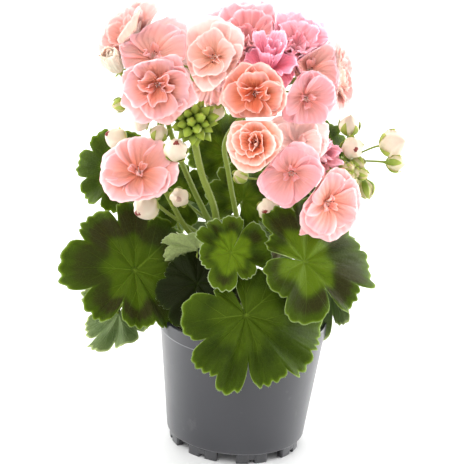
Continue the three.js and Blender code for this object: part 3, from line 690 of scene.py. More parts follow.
# The turn from lobe to lobe, in degrees, and each pair of side veins: the reach at which it forks from the
# main vein, and the turn of its tooth, counted in lobes.
LOBE_SPACING = 48
SIDE_VEINS = ((0.5, 0.2), (0.24, 0.4))


def vein_share(lobe_place, reach, width):
    """How much of a leaf's vein lies at a point, from 0 to 1. Each lobe has a main vein from the stalk to
    its tip, and two pairs of side veins that leave it at a fork and run straight to the lobe's teeth."""
    spacing = np.radians(LOBE_SPACING)
    angle = (lobe_place.math("FRACT") - 0.5) * spacing
    x = (reach * angle.math("SINE")).math("ABSOLUTE")
    y = reach * angle.math("COSINE")
    thinning = (1.15 - reach) * width
    veins = (1.0 - x / thinning).clamped()
    for fork, tooth in SIDE_VEINS:
        end = (np.sin(tooth * spacing), np.cos(tooth * spacing))
        length = np.hypot(end[0], end[1] - fork)
        past_fork = y - fork
        apart = x * ((end[1] - fork) / length) - past_fork * (end[0] / length)
        line = (1.0 - apart.math("ABSOLUTE") / (thinning * 0.6)).clamped()
        veins = veins.math("MAXIMUM", line * past_fork.math("GREATER_THAN"))
    return veins


def leaf_material(look, name="leaf_blade", painted_shade_share=0.0):
    """Velvety leaf: green with a brighter middle, a dark zone parallel to the edge, paler veins and rim,
    grey-green underneath, and quilted between fine veins. A bright leaf's lower face is mixed towards
    painted back-light, and the leaf in shade over the pot's edge is mixed towards painted shade."""
    shade = Shading(name)
    lobe_place, reach = shade.pattern()
    zone, glow, under = shade.tones()
    cloud = shade.noise(55, 4)
    fine = shade.noise(420, 3)
    veins = vein_share(lobe_place, reach, 0.012)
    net = 1.0 - shade.step(0.0, 0.09, shade.cells(330, "DISTANCE_TO_EDGE"))
    base = shade.mix(shade.step(0.3, 0.72, cloud), look.deep_green, look.green)
    base = shade.mix(glow, base, look.bright_green)
    dark = shade.step(0.1, 0.8, zone + (cloud - 0.5) * 0.9 * zone)
    base = shade.mix(dark * 0.85, base, look.zone_brown)
    clear = 0.5 - shade.step(0.15, 0.6, reach) * 0.36
    base = shade.mix(veins * clear, base, look.vein)
    base = shade.mix(net * 0.05, base, look.vein)
    base = shade.mix((glow - 1.0).clamped(), base, look.hair)
    # Painted back-light: where a leaf is bright, its lower face is mixed towards a light yellow-green.
    below = shade.mix(glow, look.underside, look.underside_painted_backlight)
    below = shade.mix(veins * 0.7, below, look.under_vein)
    below = shade.mix(net * 0.25, below, look.green)
    # Painted shade: the leaf in the dark gap over the pot's edge is mixed towards a near-black green.
    colour = shade.mix(painted_shade_share, shade.mix(under, base, below), look.painted_shade_leaf)
    relief = (veins + net * 0.35) * (under * 2.0 - 1.0) + fine * 0.25
    return shade.finish(colour, 0.6, Normal=shade.bump(relief, 0.0006, 0.8), Subsurface_Weight=0.1,
                        Subsurface_Radius=(0.6, 1, 0.15), Subsurface_Scale=0.002, Specular_IOR_Level=0.09)


def stalk_material(look, name):
    """Downy green stalk, lighter towards its end, with lengthwise streaks."""
    shade = Shading(name)
    base = shade.mix(shade.pattern()[1], look.stalk, look.stalk_end)
    base = shade.mix(shade.noise(160, 3) * 0.3, base, look.stalk_shade)
    normal = shade.bump(shade.noise(900, 2), 0.0002, 0.5)
    return shade.finish(base, 0.5, Normal=normal, Subsurface_Weight=0.15,
                        Subsurface_Radius=(0.8, 1, 0.3), Subsurface_Scale=0.002, Specular_IOR_Level=0.3)


def hair_material():
    """Pale downy hairs."""
    shade = Shading("downy_hair")
    return shade.finish(shade.mix(shade.noise(300, 1), (0.5, 0.6, 0.36), (0.72, 0.8, 0.58)), 0.6)


def petal_material(name, tint):
    """Silky petal: warm throat, paler towards the rim, veins that fan out from the root, and a pale back."""
    shade = Shading("petal_" + name)
    tint = dict(zip(TINT_KEYS, tint))
    across, along = shade.pattern()
    throat, rim, back = shade.tones()
    cloud = shade.noise(90, 3)
    fine = shade.noise(700, 2)
    edge = rim.math("MINIMUM", 1.0)
    base = shade.mix(edge, tint["face"], tint["rim"])
    base = shade.mix(throat + (cloud - 0.5) * 0.2, base, tint["throat"])
    lines = ((across + fine * 0.012) * 95.0).math("SINE")
    lines = shade.step(0.3, 1.0, lines) * shade.step(0.3, 0.7, cloud)
    veins = lines * (1.0 - shade.step(0.3, 0.85, along))
    base = shade.mix(veins * 0.45, base, tint["vein"])
    base = shade.mix((rim - 1.0).clamped() * 0.45, base, tint["lip"])
    behind = shade.mix(edge * 0.6, tint["back"], tint["rim"])
    behind = shade.mix(veins * 0.25, behind, tint["vein"])
    colour = shade.mix(back, base, behind)
    pleats = ((across + cloud * 0.12) * 46.0).math("SINE")
    normal = shade.bump(pleats * 0.5 + fine * 0.4, 0.0005, 0.8)
    return shade.finish(colour, 0.5, Normal=normal, Subsurface_Weight=1.0, Subsurface_Radius=(1, 0.75, 0.7),
                        Subsurface_Scale=0.0025, Specular_IOR_Level=0.08)


def bud_material(look):
    """Folded petals of a bud: cream, greener at the base, with a red-brown blot at the mouth."""
    shade = Shading("bud_petals")
    across, along = shade.pattern()
    cover = shade.tones()[0]
    cloud = shade.noise(320, 3)
    mouth = along + (cloud - 0.5) * 0.3
    green = 1.0 - shade.step(0.0, 0.6, along)
    green = green.math("MAXIMUM", shade.step(0.8, 1.0, cover) * 0.9)
    base = shade.mix(green, look.bud, look.bud_base)
    seam = shade.step(0.84, 1.0, across).math("MAXIMUM", shade.step(0.6, 0.92, mouth))
    base = shade.mix(cloud.math("MAXIMUM", seam) * 0.55, base, look.bud_blush)
    spot = shade.step(0.93, 0.955, mouth) * shade.step(0.6, 0.5, cover)
    base = shade.mix(spot, base, look.bud_mouth)
    normal = shade.bump(shade.noise(500, 2), 0.0002, 0.4)
    return shade.finish(base, 0.5, Normal=normal, Subsurface_Weight=0.4,
                        Subsurface_Radius=(1, 0.8, 0.5), Subsurface_Scale=0.003)


def sepal_material(name, foot, tip, streak):
    """Green sepal with a paler tip, streaks and fine down."""
    shade = Shading(name)
    base = shade.mix(shade.step(0.2, 1.0, shade.pattern()[1]), foot, tip)
    base = shade.mix(shade.noise(260, 3) * 0.35, base, streak)
    normal = shade.bump(shade.noise(900, 2), 0.0002, 0.5)
    return shade.finish(base, 0.5, Normal=normal, Subsurface_Weight=0.2,
                        Subsurface_Radius=(0.7, 1, 0.3), Subsurface_Scale=0.002, Specular_IOR_Level=0.25)


def plain_material(name, first, second, scale, roughness, depth=0.0):
    """Two colours mixed by a noise of one scale, with that noise as relief."""
    shade = Shading(name)
    cloud = shade.noise(scale, 4)
    relief = {"Normal": shade.bump(cloud, depth)} if depth else {}
    return shade.finish(shade.mix(shade.step(0.3, 0.7, cloud), first, second), roughness, **relief)


# The heights of the pot's two painted highlight lines, one near the foot and one under the rim band, in
# metres.
POT_HIGHLIGHT_HEIGHTS = (0.0086, 0.0909)


def pot_material(look):
    """Dark grey moulded plastic: satin, faintly mottled, with fine scuffs, a dusting low down, and painted
    highlight lines along two of its edges.
    """
    shade = Shading("pot_plastic")
    height = shade.node("SeparateXYZ", {0: shade.object_place()})[2]
    mottle = shade.noise(70, 4)
    scuffs = shade.step(0.62, 0.7, shade.noise(38, 6, 0.7))
    dust = shade.step(0.016, 0.0, height) * shade.noise(240, 4)
    base = shade.mix(mottle, look.plastic, look.plastic_light)
    base = shade.mix(scuffs * 0.12, base, look.scuff)
    base = shade.mix(dust * 0.35, base, look.scuff)
    # Painted highlight: a thin light line at each height, where an edge catches the light.
    for line in POT_HIGHLIGHT_HEIGHTS:
        near = (height - line).math("ABSOLUTE")
        base = shade.mix(shade.step(0.0007, 0.0001, near) * 0.5, base, look.edge_highlight)
    normal = shade.bump(shade.noise(1500, 2) + mottle * 2.0, 0.00006, 0.5)
    return shade.finish(base, mottle * 0.14 + 0.32, Normal=normal, Specular_IOR_Level=0.7, Coat_Weight=0.36,
                        Coat_Roughness=0.22)


def soil_material(look):
    """Moist peat: dark crumbs with lighter fibres."""
    shade = Shading("potting_soil")
    cloud = shade.noise(150, 6, 0.65)
    base = shade.mix(shade.step(0.25, 0.75, cloud), look.peat, look.peat_light)
    base = shade.mix(shade.step(0.7, 0.78, shade.noise(600, 2)), base, look.fibre)
    normal = shade.bump(shade.cells(420) * 1.2 + cloud, 0.0015, 0.9)
    return shade.finish(base, 0.92, Normal=normal, Specular_IOR_Level=0.2)


# Leaves


def leaf_marks(leaf):
    """The turns and lengths of a leaf's lobes and of the notches between them, by turns, starting and
    ending with a notch. A leaf without its own outline has evenly spaced lobes of the given lengths."""
    if "outline" in leaf:
        return np.array(leaf["outline"], float)
    lobes = np.array(leaf["lobes"])
    count = len(lobes)
    marks = np.zeros((2 * count + 1, 2))
    marks[:, 0] = (np.arange(2 * count + 1) - count) * leaf["spread"] / (count - 1)
    marks[1::2, 1] = lobes
    ends = np.concatenate([lobes[:1], lobes, lobes[-1:]])
    marks[::2, 1] = leaf["notch"] * np.minimum(ends[:-1], ends[1:])
    return marks


def leaf_outline(place, marks):
    """The leaf's reach and turn at a place round it, counted in lobes. Each lobe bulges between its two
    notches and its edge is scalloped into round teeth, three on a narrow lobe and five on a wide one."""
    own = np.clip(np.floor(place).astype(int), 0, len(marks) // 2 - 1)
    in_lobe = place - own - 0.5
    lobe = marks[1::2, 1][own]
    notch = marks[::2, 1][own + (in_lobe > 0)]
    bulge = lobe + (notch - lobe) * np.abs(2 * in_lobe) ** 4.5
    width = (marks[2::2, 0] - marks[:-2:2, 0])[own]
    teeth = np.where(width > WIDE_LOBE, 5, 3)
    depth = TOOTH_DEPTH * (1 + 0.5 * np.sin(7.3 * place)) * (1 - 0.65 * np.abs(2 * in_lobe) ** 3)
    scallop = 1 - np.sqrt(np.cos(teeth * np.pi * in_lobe) ** 2 + 0.02)
    turn = np.interp(place, np.arange(len(marks)) / 2, marks[:, 0])
    return bulge * (1 - depth * scallop), turn, in_lobe


def leaf_surface(leaf, lobe_steps, out_steps):
    """The leaf's middle surface. A point lies at a share of the outline's reach in its direction. Its height
    above the leaf's plane rises from the stalk in a shallow bowl, dips along each lobe's vein, droops with
    the square of the reach, waves three and five times round the leaf and frills at the teeth. Where the
    first and last lobes meet, one laps over the other."""
    marks = leaf_marks(leaf)
    count = len(marks) // 2
    place = column(count, 0, count * lobe_steps + 1)
    share = 1 - (1 - row(0, 1, out_steps)) ** 1.35
    edge, turn, in_lobe = leaf_outline(place, marks)
    reach = share * edge
    phi = np.radians(turn)
    across, deep, _ = leaf["at"]
    waves = THREE_WAVES * np.sin(3 * phi + across) + FIVE_WAVES * np.sin(5 * phi + deep)
    fold = FOLD * reach * np.cos(2 * np.pi * in_lobe)
    quilt = QUILT * reach * np.sin(5 * np.pi * np.abs(in_lobe) * 2) * np.sin(14 * reach)
    frill = FRILL * share**5 * np.sin(5 * np.pi * in_lobe + 1.3 * place + deep)
    lap = LAP * reach * np.sign(phi) * smooth_step(2.5, 3.2, np.abs(phi))
    height = BOWL * reach - fold - (leaf["droop"] + BOWL) * reach**2 + leaf["wave"] * reach**2 * waves
    height = height + quilt + frill + lap
    up = direction(leaf["face"])
    tip = direction(leaf["tip"])
    tip = unit(tip - up * np.dot(tip, up))
    side = np.cross(up, tip)
    size = leaf["size"]
    grid = (
        np.array(leaf["at"])
        + tip * (size * reach * np.cos(phi))[..., None]
        + side * (size * reach * np.sin(phi))[..., None]
        + up * (size * height)[..., None]
    )
    return grid, place, share, reach


def add_leaf(surfaces, leaf, sizes, rng):
    """The blade with its bright middle, its dark zone, which is uneven from lobe to lobe, and its margin, the
    stalk from the branch to the blade, and hairs on both. A large leaf and one at the front are finer."""
    fine = leaf["size"] > LARGE_LEAF or leaf["size"] > FRONT_LEAF and leaf["at"][1] < 0
    grid, place, share, reach = leaf_surface(leaf, *(FINE_LEAF_STEPS if fine else LEAF_STEPS))
    uneven = np.sin(1.9 * place + leaf["at"][0])
    start = leaf["zone_from"] + 0.05 * uneven - 0.05 * np.cos(2 * np.pi * place)
    middle = 1 - smooth_step(start, start + 0.2, reach)
    patch = 1 - leaf["patch"] * (0.5 - 0.5 * np.cos(2 * np.pi * place + np.pi))
    zone = leaf["zone"] * patch * (0.75 + 0.25 * uneven) * (1 - middle) * (1 - smooth_step(0.76, 0.96, share))
    # glow is the bright middle and margin; on a lower face the material turns it into painted back-light.
    glow = leaf["bright"] * middle + 0.4 * leaf["margin"] * smooth_step(0.6, 0.95, share)
    glow = np.minimum(glow, 1) + smooth_step(0.955, 0.98, share)
    thickness = sizes.leaf_thickness / MM * (0.35 + 0.65 * (1 - smooth_step(0.9, 1, share)))
    thickness = np.broadcast_to(thickness, reach.shape)
    surfaces.blade(grid, thickness, 0, stacked(place, reach), stacked(zone, glow, 0), pole=True)

    up = direction(leaf["face"])
    at = np.array(leaf["at"])
    start = branch_point(*leaf["grows"])
    knee = leaf.get("knee", at - up * 0.25 * np.linalg.norm(at - start))
    way = unit(np.array(knee) - start)
    points = [start, start + 8 * way, knee, at - 4 * up, at - 0.2 * up]
    rings, out = surfaces.tube(points, LEAF_STALK_RADII, 26, 10, 1)

    count = sizes.leaf_hairs if fine else sizes.leaf_hairs // 3
    edge = grid[:, -1]
    outward = unit(edge - at)
    pick = rng.integers(0, len(edge), count)
    ways = outward[pick] + rng.normal(0, 0.35, (count, 3))
    surfaces.spikes(edge[pick] - 0.2 * outward[pick], ways, rng.uniform(0.5, 1.2, count), 0.09, 2)
    surfaces.down(rings, out, count, (0.4, 1.0), 0.08, 2, rng)


# Blooms


def give_way(points, bloom):
    """Pushes points back softly where they would cross the middle between a bloom and a neighbour: past
    a soft margin the distance kept falls off as a decaying exponential."""
    at = np.array(bloom["at"], float)
    for other in BLOOMS.values():
        toward = np.array(other["at"], float) - at
        distance = np.linalg.norm(toward)
        if distance == 0 or distance > 1.3 * (bloom["size"] + other["size"]):
            continue
        toward /= distance
        share = bloom["size"] / (bloom["size"] + other["size"])
        past = (points - at) @ toward - distance * share + PETAL_GAP
        into = np.maximum(past, -PETAL_SOFTNESS) + PETAL_SOFTNESS
        kept = -PETAL_SOFTNESS * np.exp(-into / PETAL_SOFTNESS)
        points = points + toward * np.where(past > -PETAL_SOFTNESS, kept - past, 0)[..., None]
    return points


def petal_surface(bloom, layer, turn, rng, steps):
    """One petal's middle surface. Going out from the root it leans over from its root angle to its tip
    angle, so its radius and height are running sums of the sine and cosine of the lean. It widens to a
    broad round end, is spooned and twisted across, and ruffles towards its rim."""
    size = bloom["size"]
    along = column(0, 1, steps[0])
    across = row(-1, 1, steps[1])
    uneven = layer.get("uneven", 1)
    dent = DENT * uneven * np.cos(rng.uniform(3, 6) * across + rng.uniform(0, 6))
    end = 1 - ROUND_END * np.abs(across) ** 3 + (dent + FRINGE * np.sin(17 * across))
    a = along * end
    root = layer["root"] * (1 - bloom["closed"] / 90)
    tip = layer["tip"] - bloom["closed"] + uneven * rng.uniform(-7, 7)
    curl = uneven * rng.uniform(-12, 16)
    lean = np.radians(root + (tip - root) * a + curl * a**4)
    length = layer["length"] * size * rng.uniform(0.93, 1.05)
    pace = length * np.diff(a, axis=0, prepend=0)
    r = CLAW_RADIUS + np.cumsum(pace * np.sin(lean), axis=0)
    h = layer["height"] + rng.uniform(0, 0.9) + np.cumsum(pace * np.cos(lean), axis=0)
    half = 0.5 * layer["width"] * size * np.sin(np.pi * (0.05 + 0.66 * a**0.85))
    phase = rng.uniform(0, 6)
    wave = np.sin(layer["waves"] * across * rng.uniform(0.9, 1.2) + phase)
    ruffle = 1.5 * layer["ruffle"] * size * a**2.5 * wave
    ruffle = ruffle + CRIMP * size * a**8 * np.sin(rng.uniform(13, 19) * across + phase)
    groove = np.exp(-((across / 0.2) ** 2))
    pleats = PLEAT * size * a * np.sin(13 * across + phase) - GROOVE * size * a * groove
    lift = PETAL_SPOON * half * across**2 + PETAL_TWIST * half * across + ruffle + pleats
    angle = turn + across * np.arctan(half / np.maximum(r, 0.5)) + 0.06 * np.sin(4 * a + phase)
    grid = turned(r - lift * np.cos(lean), angle, h + lift * np.sin(lean))
    rim = np.maximum(smooth_step(0.55, 1, a), np.abs(across) ** 4 * smooth_step(0.2, 0.7, a))
    side_lip = smooth_step(0.9, 0.99, np.abs(across)) * smooth_step(0.3, 0.7, a)
    lip = np.maximum(smooth_step(0.9, 0.99, along), side_lip)
    throat = 1 - smooth_step(0.15, 0.85, a * layer["length"] + 0.08 * np.abs(across))
    return grid, across, a, throat, rim, lip


def add_bloom(surfaces, bloom, number, sizes):
    """Layers of petals round the bloom's axis, pale filaments in its throat, some with an anther, and the
    hub behind it with five sepals."""
    rng = np.random.default_rng(100 + number)
    at = np.array(bloom["at"])
    axes = frame_along(bloom["face"])
    up = axes[2]
    spin = rng.uniform(0, 2 * np.pi)
    for shape in FORMS[bloom["form"]] + bloom.get("extra", []):
        layer = dict(zip(LAYER_KEYS, shape))
        steps = PETAL_STEPS if layer["length"] > 0.7 else SMALL_PETAL_STEPS
        thickness = sizes.petal_thickness / MM * rim_taper(*steps)
        start = 0 if layer["petals"] == 1 else spin + rng.uniform(-0.1, 0.1)
        for k in range(layer["petals"]):
            turn = start + np.radians(layer["turn"]) + 2 * np.pi * k / layer["petals"]
            grid, across, a, throat, rim, lip = petal_surface(bloom, layer, turn, rng, steps)
            rim = np.where(lip > 0.02, 1 + lip, rim * (1 if layer["length"] > 0.9 else 0.5))
            throat = throat * (1 if layer["length"] > 0.5 else 0.45)
            tones = stacked(np.clip(throat + rng.uniform(-0.12, 0.12), 0, 1), rim, 0)
            place = give_way(at + grid @ axes, bloom)
            surfaces.blade(place, thickness, 0, stacked(across * 0.5 + 3 * k, a), tones)
    surfaces.tube([at - 2 * up, at, at + 1.4 * up], HUB_RADII, 7, 12, 0, (1, 0, 0))
    for k in range(FILAMENTS):
        angle = spin + 2 * np.pi * k / FILAMENTS
        lean = rng.uniform(0.15, 0.7)
        tip = turned(lean, angle, 1) * rng.uniform(*FILAMENT_LENGTHS) * bloom["size"]
        foot = turned(1, angle, 0.6)
        line = at + np.array([foot, 0.5 * (tip + foot) + [0, 0, 0.8], tip]) @ axes
        surfaces.tube(line, (0.42, 0.36, 0.3), 7, 6, 1)
        if k % 3 == 0:
            surfaces.tube([line[2] - 0.2 * up, line[2] + 0.5 * up, line[2] + up], (0.2, 0.6, 0.2), 6, 6, 2)
    base = at - up
    surfaces.tube([base - 2.2 * up, base, base + 0.6 * up], CALYX_RADII, 6, 12, 3)
    for k in range(SEPALS):
        spread = rng.uniform(0.95, 1.1)
        add_sepal(surfaces, base, axes, 2 * np.pi * k / SEPALS, 0.42 * bloom["size"], 3, spread)


# Buds and stalks


def add_sepal(surfaces, base, axes, turn, length, look, spread):
    """A narrow pointed sepal: it starts at its foot's distance from the axis, leans out by its spread and
    curves in at its tip."""
    along, across = column(0, 1, 9), row(-1, 1, 7)
    width = sepal_width(0.2 * length, along)
    out = SEPAL_FOOT + spread * length * along * (1 - 0.45 * along)
    angle = turn + across * width / np.maximum(out, 1)
    grid = turned(out - 0.25 * width * across**2, angle, length * along * (1 - spread))
    surfaces.blade(base + grid @ axes, 0.4 * rim_taper(9, 7), look, stacked(across, along))


def add_bud(surfaces, at, size, face, cover, rng):
    """A bud: an egg wound by five overlapping petals, each a step in radius along a spiral, with five sepals
    pressed to it over the share that they cover, and a small foot."""
    axes = frame_along(face)
    high, round_steps, rows, columns = (22, 40, 9, 7) if size > GROWN_BUD else (12, 20, 6, 5)
    t, angle = row(0, 1, high), full_turn(round_steps)
    fold = np.mod(5 * angle / (2 * np.pi) + 1.3 * t, 1)
    radius = size * egg(t) * (1 + 0.24 * (fold - 0.5) * np.sin(np.pi * t) ** 0.7)
    grid = turned(radius, angle, size * (-BUD_LOW + BUD_HEIGHT * t))
    surfaces.grid(np.array(at) + grid @ axes, 1, stacked(fold, t), (cover, 0, 0), close=True)
    base = np.array(at) - 1.05 * size * axes[2]
    along, across = column(0, 1, rows), row(-1, 1, columns)
    for k in range(SEPALS):
        turn = 2 * np.pi * (k + rng.uniform(-0.1, 0.1)) / SEPALS
        share = cover * rng.uniform(0.85, 1.05) * along
        out = size * 1.06 * egg(np.clip(share, 0.03, 1)) + 0.45 + rng.uniform(0, 1.6) * along**3
        theta = turn + across * sepal_width(0.4 * size, along) / np.maximum(out, 1)
        sepal = turned(out, theta, BUD_HEIGHT * size * share)
        surfaces.blade(base + sepal @ axes, 0.35 * rim_taper(rows, columns), 2, stacked(across, along))
    surfaces.tube([base - 1.6 * axes[2], base, base + 1.2 * axes[2]], (0.9, 1.3, 1.9), 6, 10, 2)


def add_green_head(surfaces, centre, rng):
    """The tight green head: small pointed buds on a ball, spaced by the golden angle, each ribbed by the
    five sepals that wrap it, with a core behind them."""
    golden = np.pi * (3 - np.sqrt(5))
    t, angle = row(0, 1, 12), full_turn(15)
    for i in range(GREEN_BUDS):
        z = 1 - 2 * (i + 0.5) / GREEN_BUDS
        ring = np.sqrt(1 - z * z)
        out = np.array([ring * np.cos(i * golden), ring * np.sin(i * golden), z])
        side = unit(np.cross(out, [0.3, 0.2, 0.9]))
        axes = np.stack([side, np.cross(out, side), out])
        size = rng.uniform(3.0, 4.1)
        radius = size * np.sin(np.pi * t**0.8) ** 0.8 * (1 + 0.13 * np.cos(5 * angle + 2 * t))
        grid = turned(radius, angle, size * (-1 + 2.5 * t + 0.5 * t**6))
        place = centre + rng.uniform(10, 13) * out + grid @ axes
        surfaces.grid(place, 3, stacked(angle / 6.3, t), close=True)
    surfaces.grid(centre + GREEN_CORE * ball(14, 20), 3, close=True)


def add_head_stalks(surfaces, letter, rng, hairs):
    """A head's thick stalk from its branch to the hub, with small bracts at the hub, and from there
    a thin stalk to each bloom and bud."""
    head = HEADS[letter]
    hub = np.array(head["at"], float)
    radius = head["radius"]
    path = [branch_point(*head["grows"]), *head["via"], hub]
    rings, out = surfaces.tube(path, (radius * 1.25, radius * 1.05, radius, radius * 1.1), 60, 16, 0)
    surfaces.down(rings, out, hairs, (0.5, 1.2), 0.09, 4, rng)
    if letter == GREEN_HEAD:
        add_green_head(surfaces, hub + [0, 0, 10.5], rng)
        return
    axes = np.stack([unit(rings[-1, 0] - hub), unit(rings[-1, 4] - hub), unit(hub - rings[-3].mean(0))])
    surfaces.tube([hub - 1.5 * axes[2], hub, hub + 2.2 * axes[2]], (radius * 1.1, 3.1, 1.6), 9, 16, 0)
    for k in range(6):
        add_sepal(surfaces, hub - 1.2 * axes[2], axes, 2 * np.pi * k / 6, 5.5, 2, 0.6)
    buds = [bud[1:] for bud in BUDS if bud[0] == letter]
    ends = [(b["at"], b["face"], 1.9, PEDICEL_RADIUS) for b in BLOOMS.values() if b["head"] == letter]
    ends += [(at, face, size, PEDICEL_RADIUS * 0.9) for at, size, face, _ in buds]
    for at, face, gap, thick in ends:
        outward = direction(face)
        line = [hub, np.array(at) - outward * (gap + 7), np.array(at) - outward * gap]
        rings, out = surfaces.tube(line, (thick, thick * 0.9, thick * 1.15), 20, 8, 0)
        surfaces.down(rings, out, hairs // 5, (0.4, 0.9), 0.07, 4, rng)
    for at, size, face, cover in buds:
        add_bud(surfaces, at, size, face, cover, rng)
    for _ in range(head.get("young", 0)):
        face = (rng.uniform(-60, 120), rng.uniform(-70, 30))
        at = hub + head["young_shift"] + rng.uniform(8, 18) * direction(face)
        add_bud(surfaces, at, rng.uniform(2.6, 4.2), face, 1.0, rng)
        surfaces.tube([hub, 0.5 * (hub + at) + [0, 0, 1.5], at], (0.6, 0.5, 0.6), 10, 7, 0)


# Stems, soil and pot


def add_branch(surfaces, name, rng):
    """A branch: a tube whose radius swells at the rings where old leaves stood, rough with bark."""
    thick = TRUNK_RADIUS if name == "trunk" else BRANCH_RADIUS
    steps, sides = 70, 28
    rings, out = tube(BRANCHES[name], (thick, thick * 0.85), steps, sides)
    along, angle = column(0, 1, steps), full_turn(sides).T
    nodes = np.exp(-((np.mod(along * 5.3, 1) - 0.5) / 0.09) ** 2)
    swell = 0.32 * nodes * (1 + 0.4 * np.cos(angle + 9 * along)) + 0.12 * np.sin(7 * angle + 12 * along)
    swell = swell + rng.normal(0, 0.035, (steps, sides))
    rings = rings + out * swell[..., None]
    pattern = stacked(angle / 6.3, along).transpose(1, 0, 2)
    surfaces.grid(rings.transpose(1, 0, 2), 0, pattern, close=True, caps=True)


def rounded(profile, radius, steps=4):
    """A profile with each inner corner replaced by a short arc: points on the quadratic curve that leaves
    and meets its two sides at the radius from the corner, or at a third of a side if that is shorter."""
    points = np.array(profile, float)
    made = [points[:1]]
    for before, corner, after in zip(points[:-2], points[1:-1], points[2:]):
        a, b = before - corner, after - corner
        reach = [min(radius, np.linalg.norm(v) / 3) / max(np.linalg.norm(v), 1e-9) for v in (a, b)]
        start, end = corner + a * reach[0], corner + b * reach[1]
        t = column(0, 1, steps)
        made.append((1 - t) ** 2 * start + 2 * t * (1 - t) * corner + t**2 * end)
    return np.concatenate([*made, points[-1:]])


def add_foot(surfaces, sizes, middle, width, low):
    """One block of the pot's foot ring: a rounded section carried round the axis over its width, down to
    its low edge, with both ends closed."""
    inner, outer, top = sizes.foot_radius / MM - 5, sizes.foot_radius / MM, sizes.foot_height / MM + 1
    section = rounded([(inner, top), (inner, low), (outer, low), (outer, top), (inner, top)], 0.6)
    r, z = section[:-1].T
    grid = about(r, middle + column(-0.5, 0.5, 9) * width, z)
    surfaces.grid(grid.transpose(1, 0, 2), 0, close=True, caps=True, flip=True)


# The pieces' sizes and colours, which a user may change


def length_of(name, description, default_mm):
    """A length property whose default is given in millimetres."""
    return FloatProperty(name=name, description=description, default=default_mm * MM, min=0, unit="LENGTH",
                         precision=5)


def colour_of(name, description, *default):
    """A colour property, in linear light."""
    return FloatVectorProperty(name=name, description=description, default=default, size=3, min=0, max=1,
                               subtype="COLOR")


def number_of(name, description, default):
    """A count."""
    return IntProperty(name=name, description=description, default=default, min=0)


def angle_of(name, description, default):
    """An angle property whose default is given in degrees."""
    return FloatProperty(name=name, description=description, default=np.radians(default), subtype="ANGLE")


def power_of(name, description, default):
    """The power of a light."""
    return FloatProperty(name=name, description=description, default=default, subtype="POWER")


class GeraniumPotSettings(bpy.types.PropertyGroup):
    """Sizes and colours of the pot and its soil."""

    rim_radius: length_of("Rim radius", "Outer radius of the rim band", float(POT_HIGH[0]))
    height: length_of("Height", "Height of the pot", float(POT_HIGH[2]))
    band_height: length_of("Band height", "Height of the rim band", 11)
    top_radius: length_of("Top radius", "Outer radius of the wall under the rim band", 62.6)
    bottom_radius: length_of("Bottom radius", "Outer radius of the wall at its foot", 52.8)
    wall: length_of("Wall", "Thickness of the wall", 2)
    foot_height: length_of("Foot height", "Height of the notched foot ring", 8)
    foot_radius: length_of("Foot radius", "Outer radius of the foot ring", 50.2)
    plastic: colour_of("Plastic", "Dark grey of the pot", 0.0145, 0.015, 0.022)
    plastic_light: colour_of("Plastic, light", "Lighter mottling of the pot", 0.019, 0.02, 0.027)
    # Painted highlight colour for two of the pot's edges.
    edge_highlight: colour_of("Edge highlights", "Painted highlight along two of the pot's edges", 0.3, 0.3, 0.33)
    scuff: colour_of("Scuffs", "Fine scuffs and dust on the plastic", 0.16, 0.155, 0.15)
    peat: colour_of("Peat", "Dark crumbs of the soil", 0.018, 0.011, 0.007)
    peat_light: colour_of("Peat, light", "Drier crumbs of the soil", 0.055, 0.034, 0.02)
    fibre: colour_of("Fibres", "Pale fibres in the soil", 0.16, 0.1, 0.055)


class GeraniumLeafSettings(bpy.types.PropertyGroup):
    """Sizes and colours of the leaves, stalks and stems."""

    leaf_thickness: length_of("Leaf thickness", "Thickness of a leaf blade", 0.8)
    leaf_hairs: number_of("Hairs per leaf", "Hairs along each leaf's edge and stalk", 420)
    stalk_hairs: number_of("Hairs per stalk", "Hairs on each thick flower stalk", 320)
    green: colour_of("Green", "Main green of a leaf's upper face", 0.04, 0.07, 0.002)
    deep_green: colour_of("Deep green", "Darker patches of a leaf", 0.024, 0.042, 0.0015)
    bright_green: colour_of("Bright green", "Middle and rim of a leaf, and young leaves", 0.13, 0.21, 0.006)
    zone_brown: colour_of("Zone", "Dark zone of a leaf", 0.029, 0.024, 0.006)
    # Painted shade colour for the leaf in the dark gap over the pot's edge.
    painted_shade_leaf: colour_of("Painted shade leaf", "Painted shade on the leaf over the pot's edge", 0.008, 0.012, 0.002)
    vein: colour_of("Veins", "Veins of a leaf's upper face", 0.2, 0.3, 0.03)
    hair: colour_of("Down", "Down on a leaf's upper face", 0.66, 0.74, 0.5)
    underside: colour_of("Underside", "Lower face of a leaf", 0.1, 0.145, 0.05)
    # Painted back-light colour for a lower face seen lit through.
    underside_painted_backlight: colour_of("Underside, painted back-light", "Painted back-light through a leaf's lower face", 0.42, 0.5, 0.2)
    under_vein: colour_of("Underside veins", "Veins of a leaf's lower face", 0.3, 0.38, 0.18)
    stalk: colour_of("Stalk", "Green of a stalk near its root", 0.15, 0.21, 0.025)
    stalk_end: colour_of("Stalk end", "Green of a stalk near its end", 0.3, 0.36, 0.06)
    stalk_shade: colour_of("Stalk streaks", "Darker streaks of stalks and sepals", 0.1, 0.17, 0.02)
    bark: colour_of("Bark", "Brown-green bark of the old stems", 0.13, 0.12, 0.05)
    bark_dark: colour_of("Bark, dark", "Dark rings of the old stems", 0.07, 0.06, 0.025)


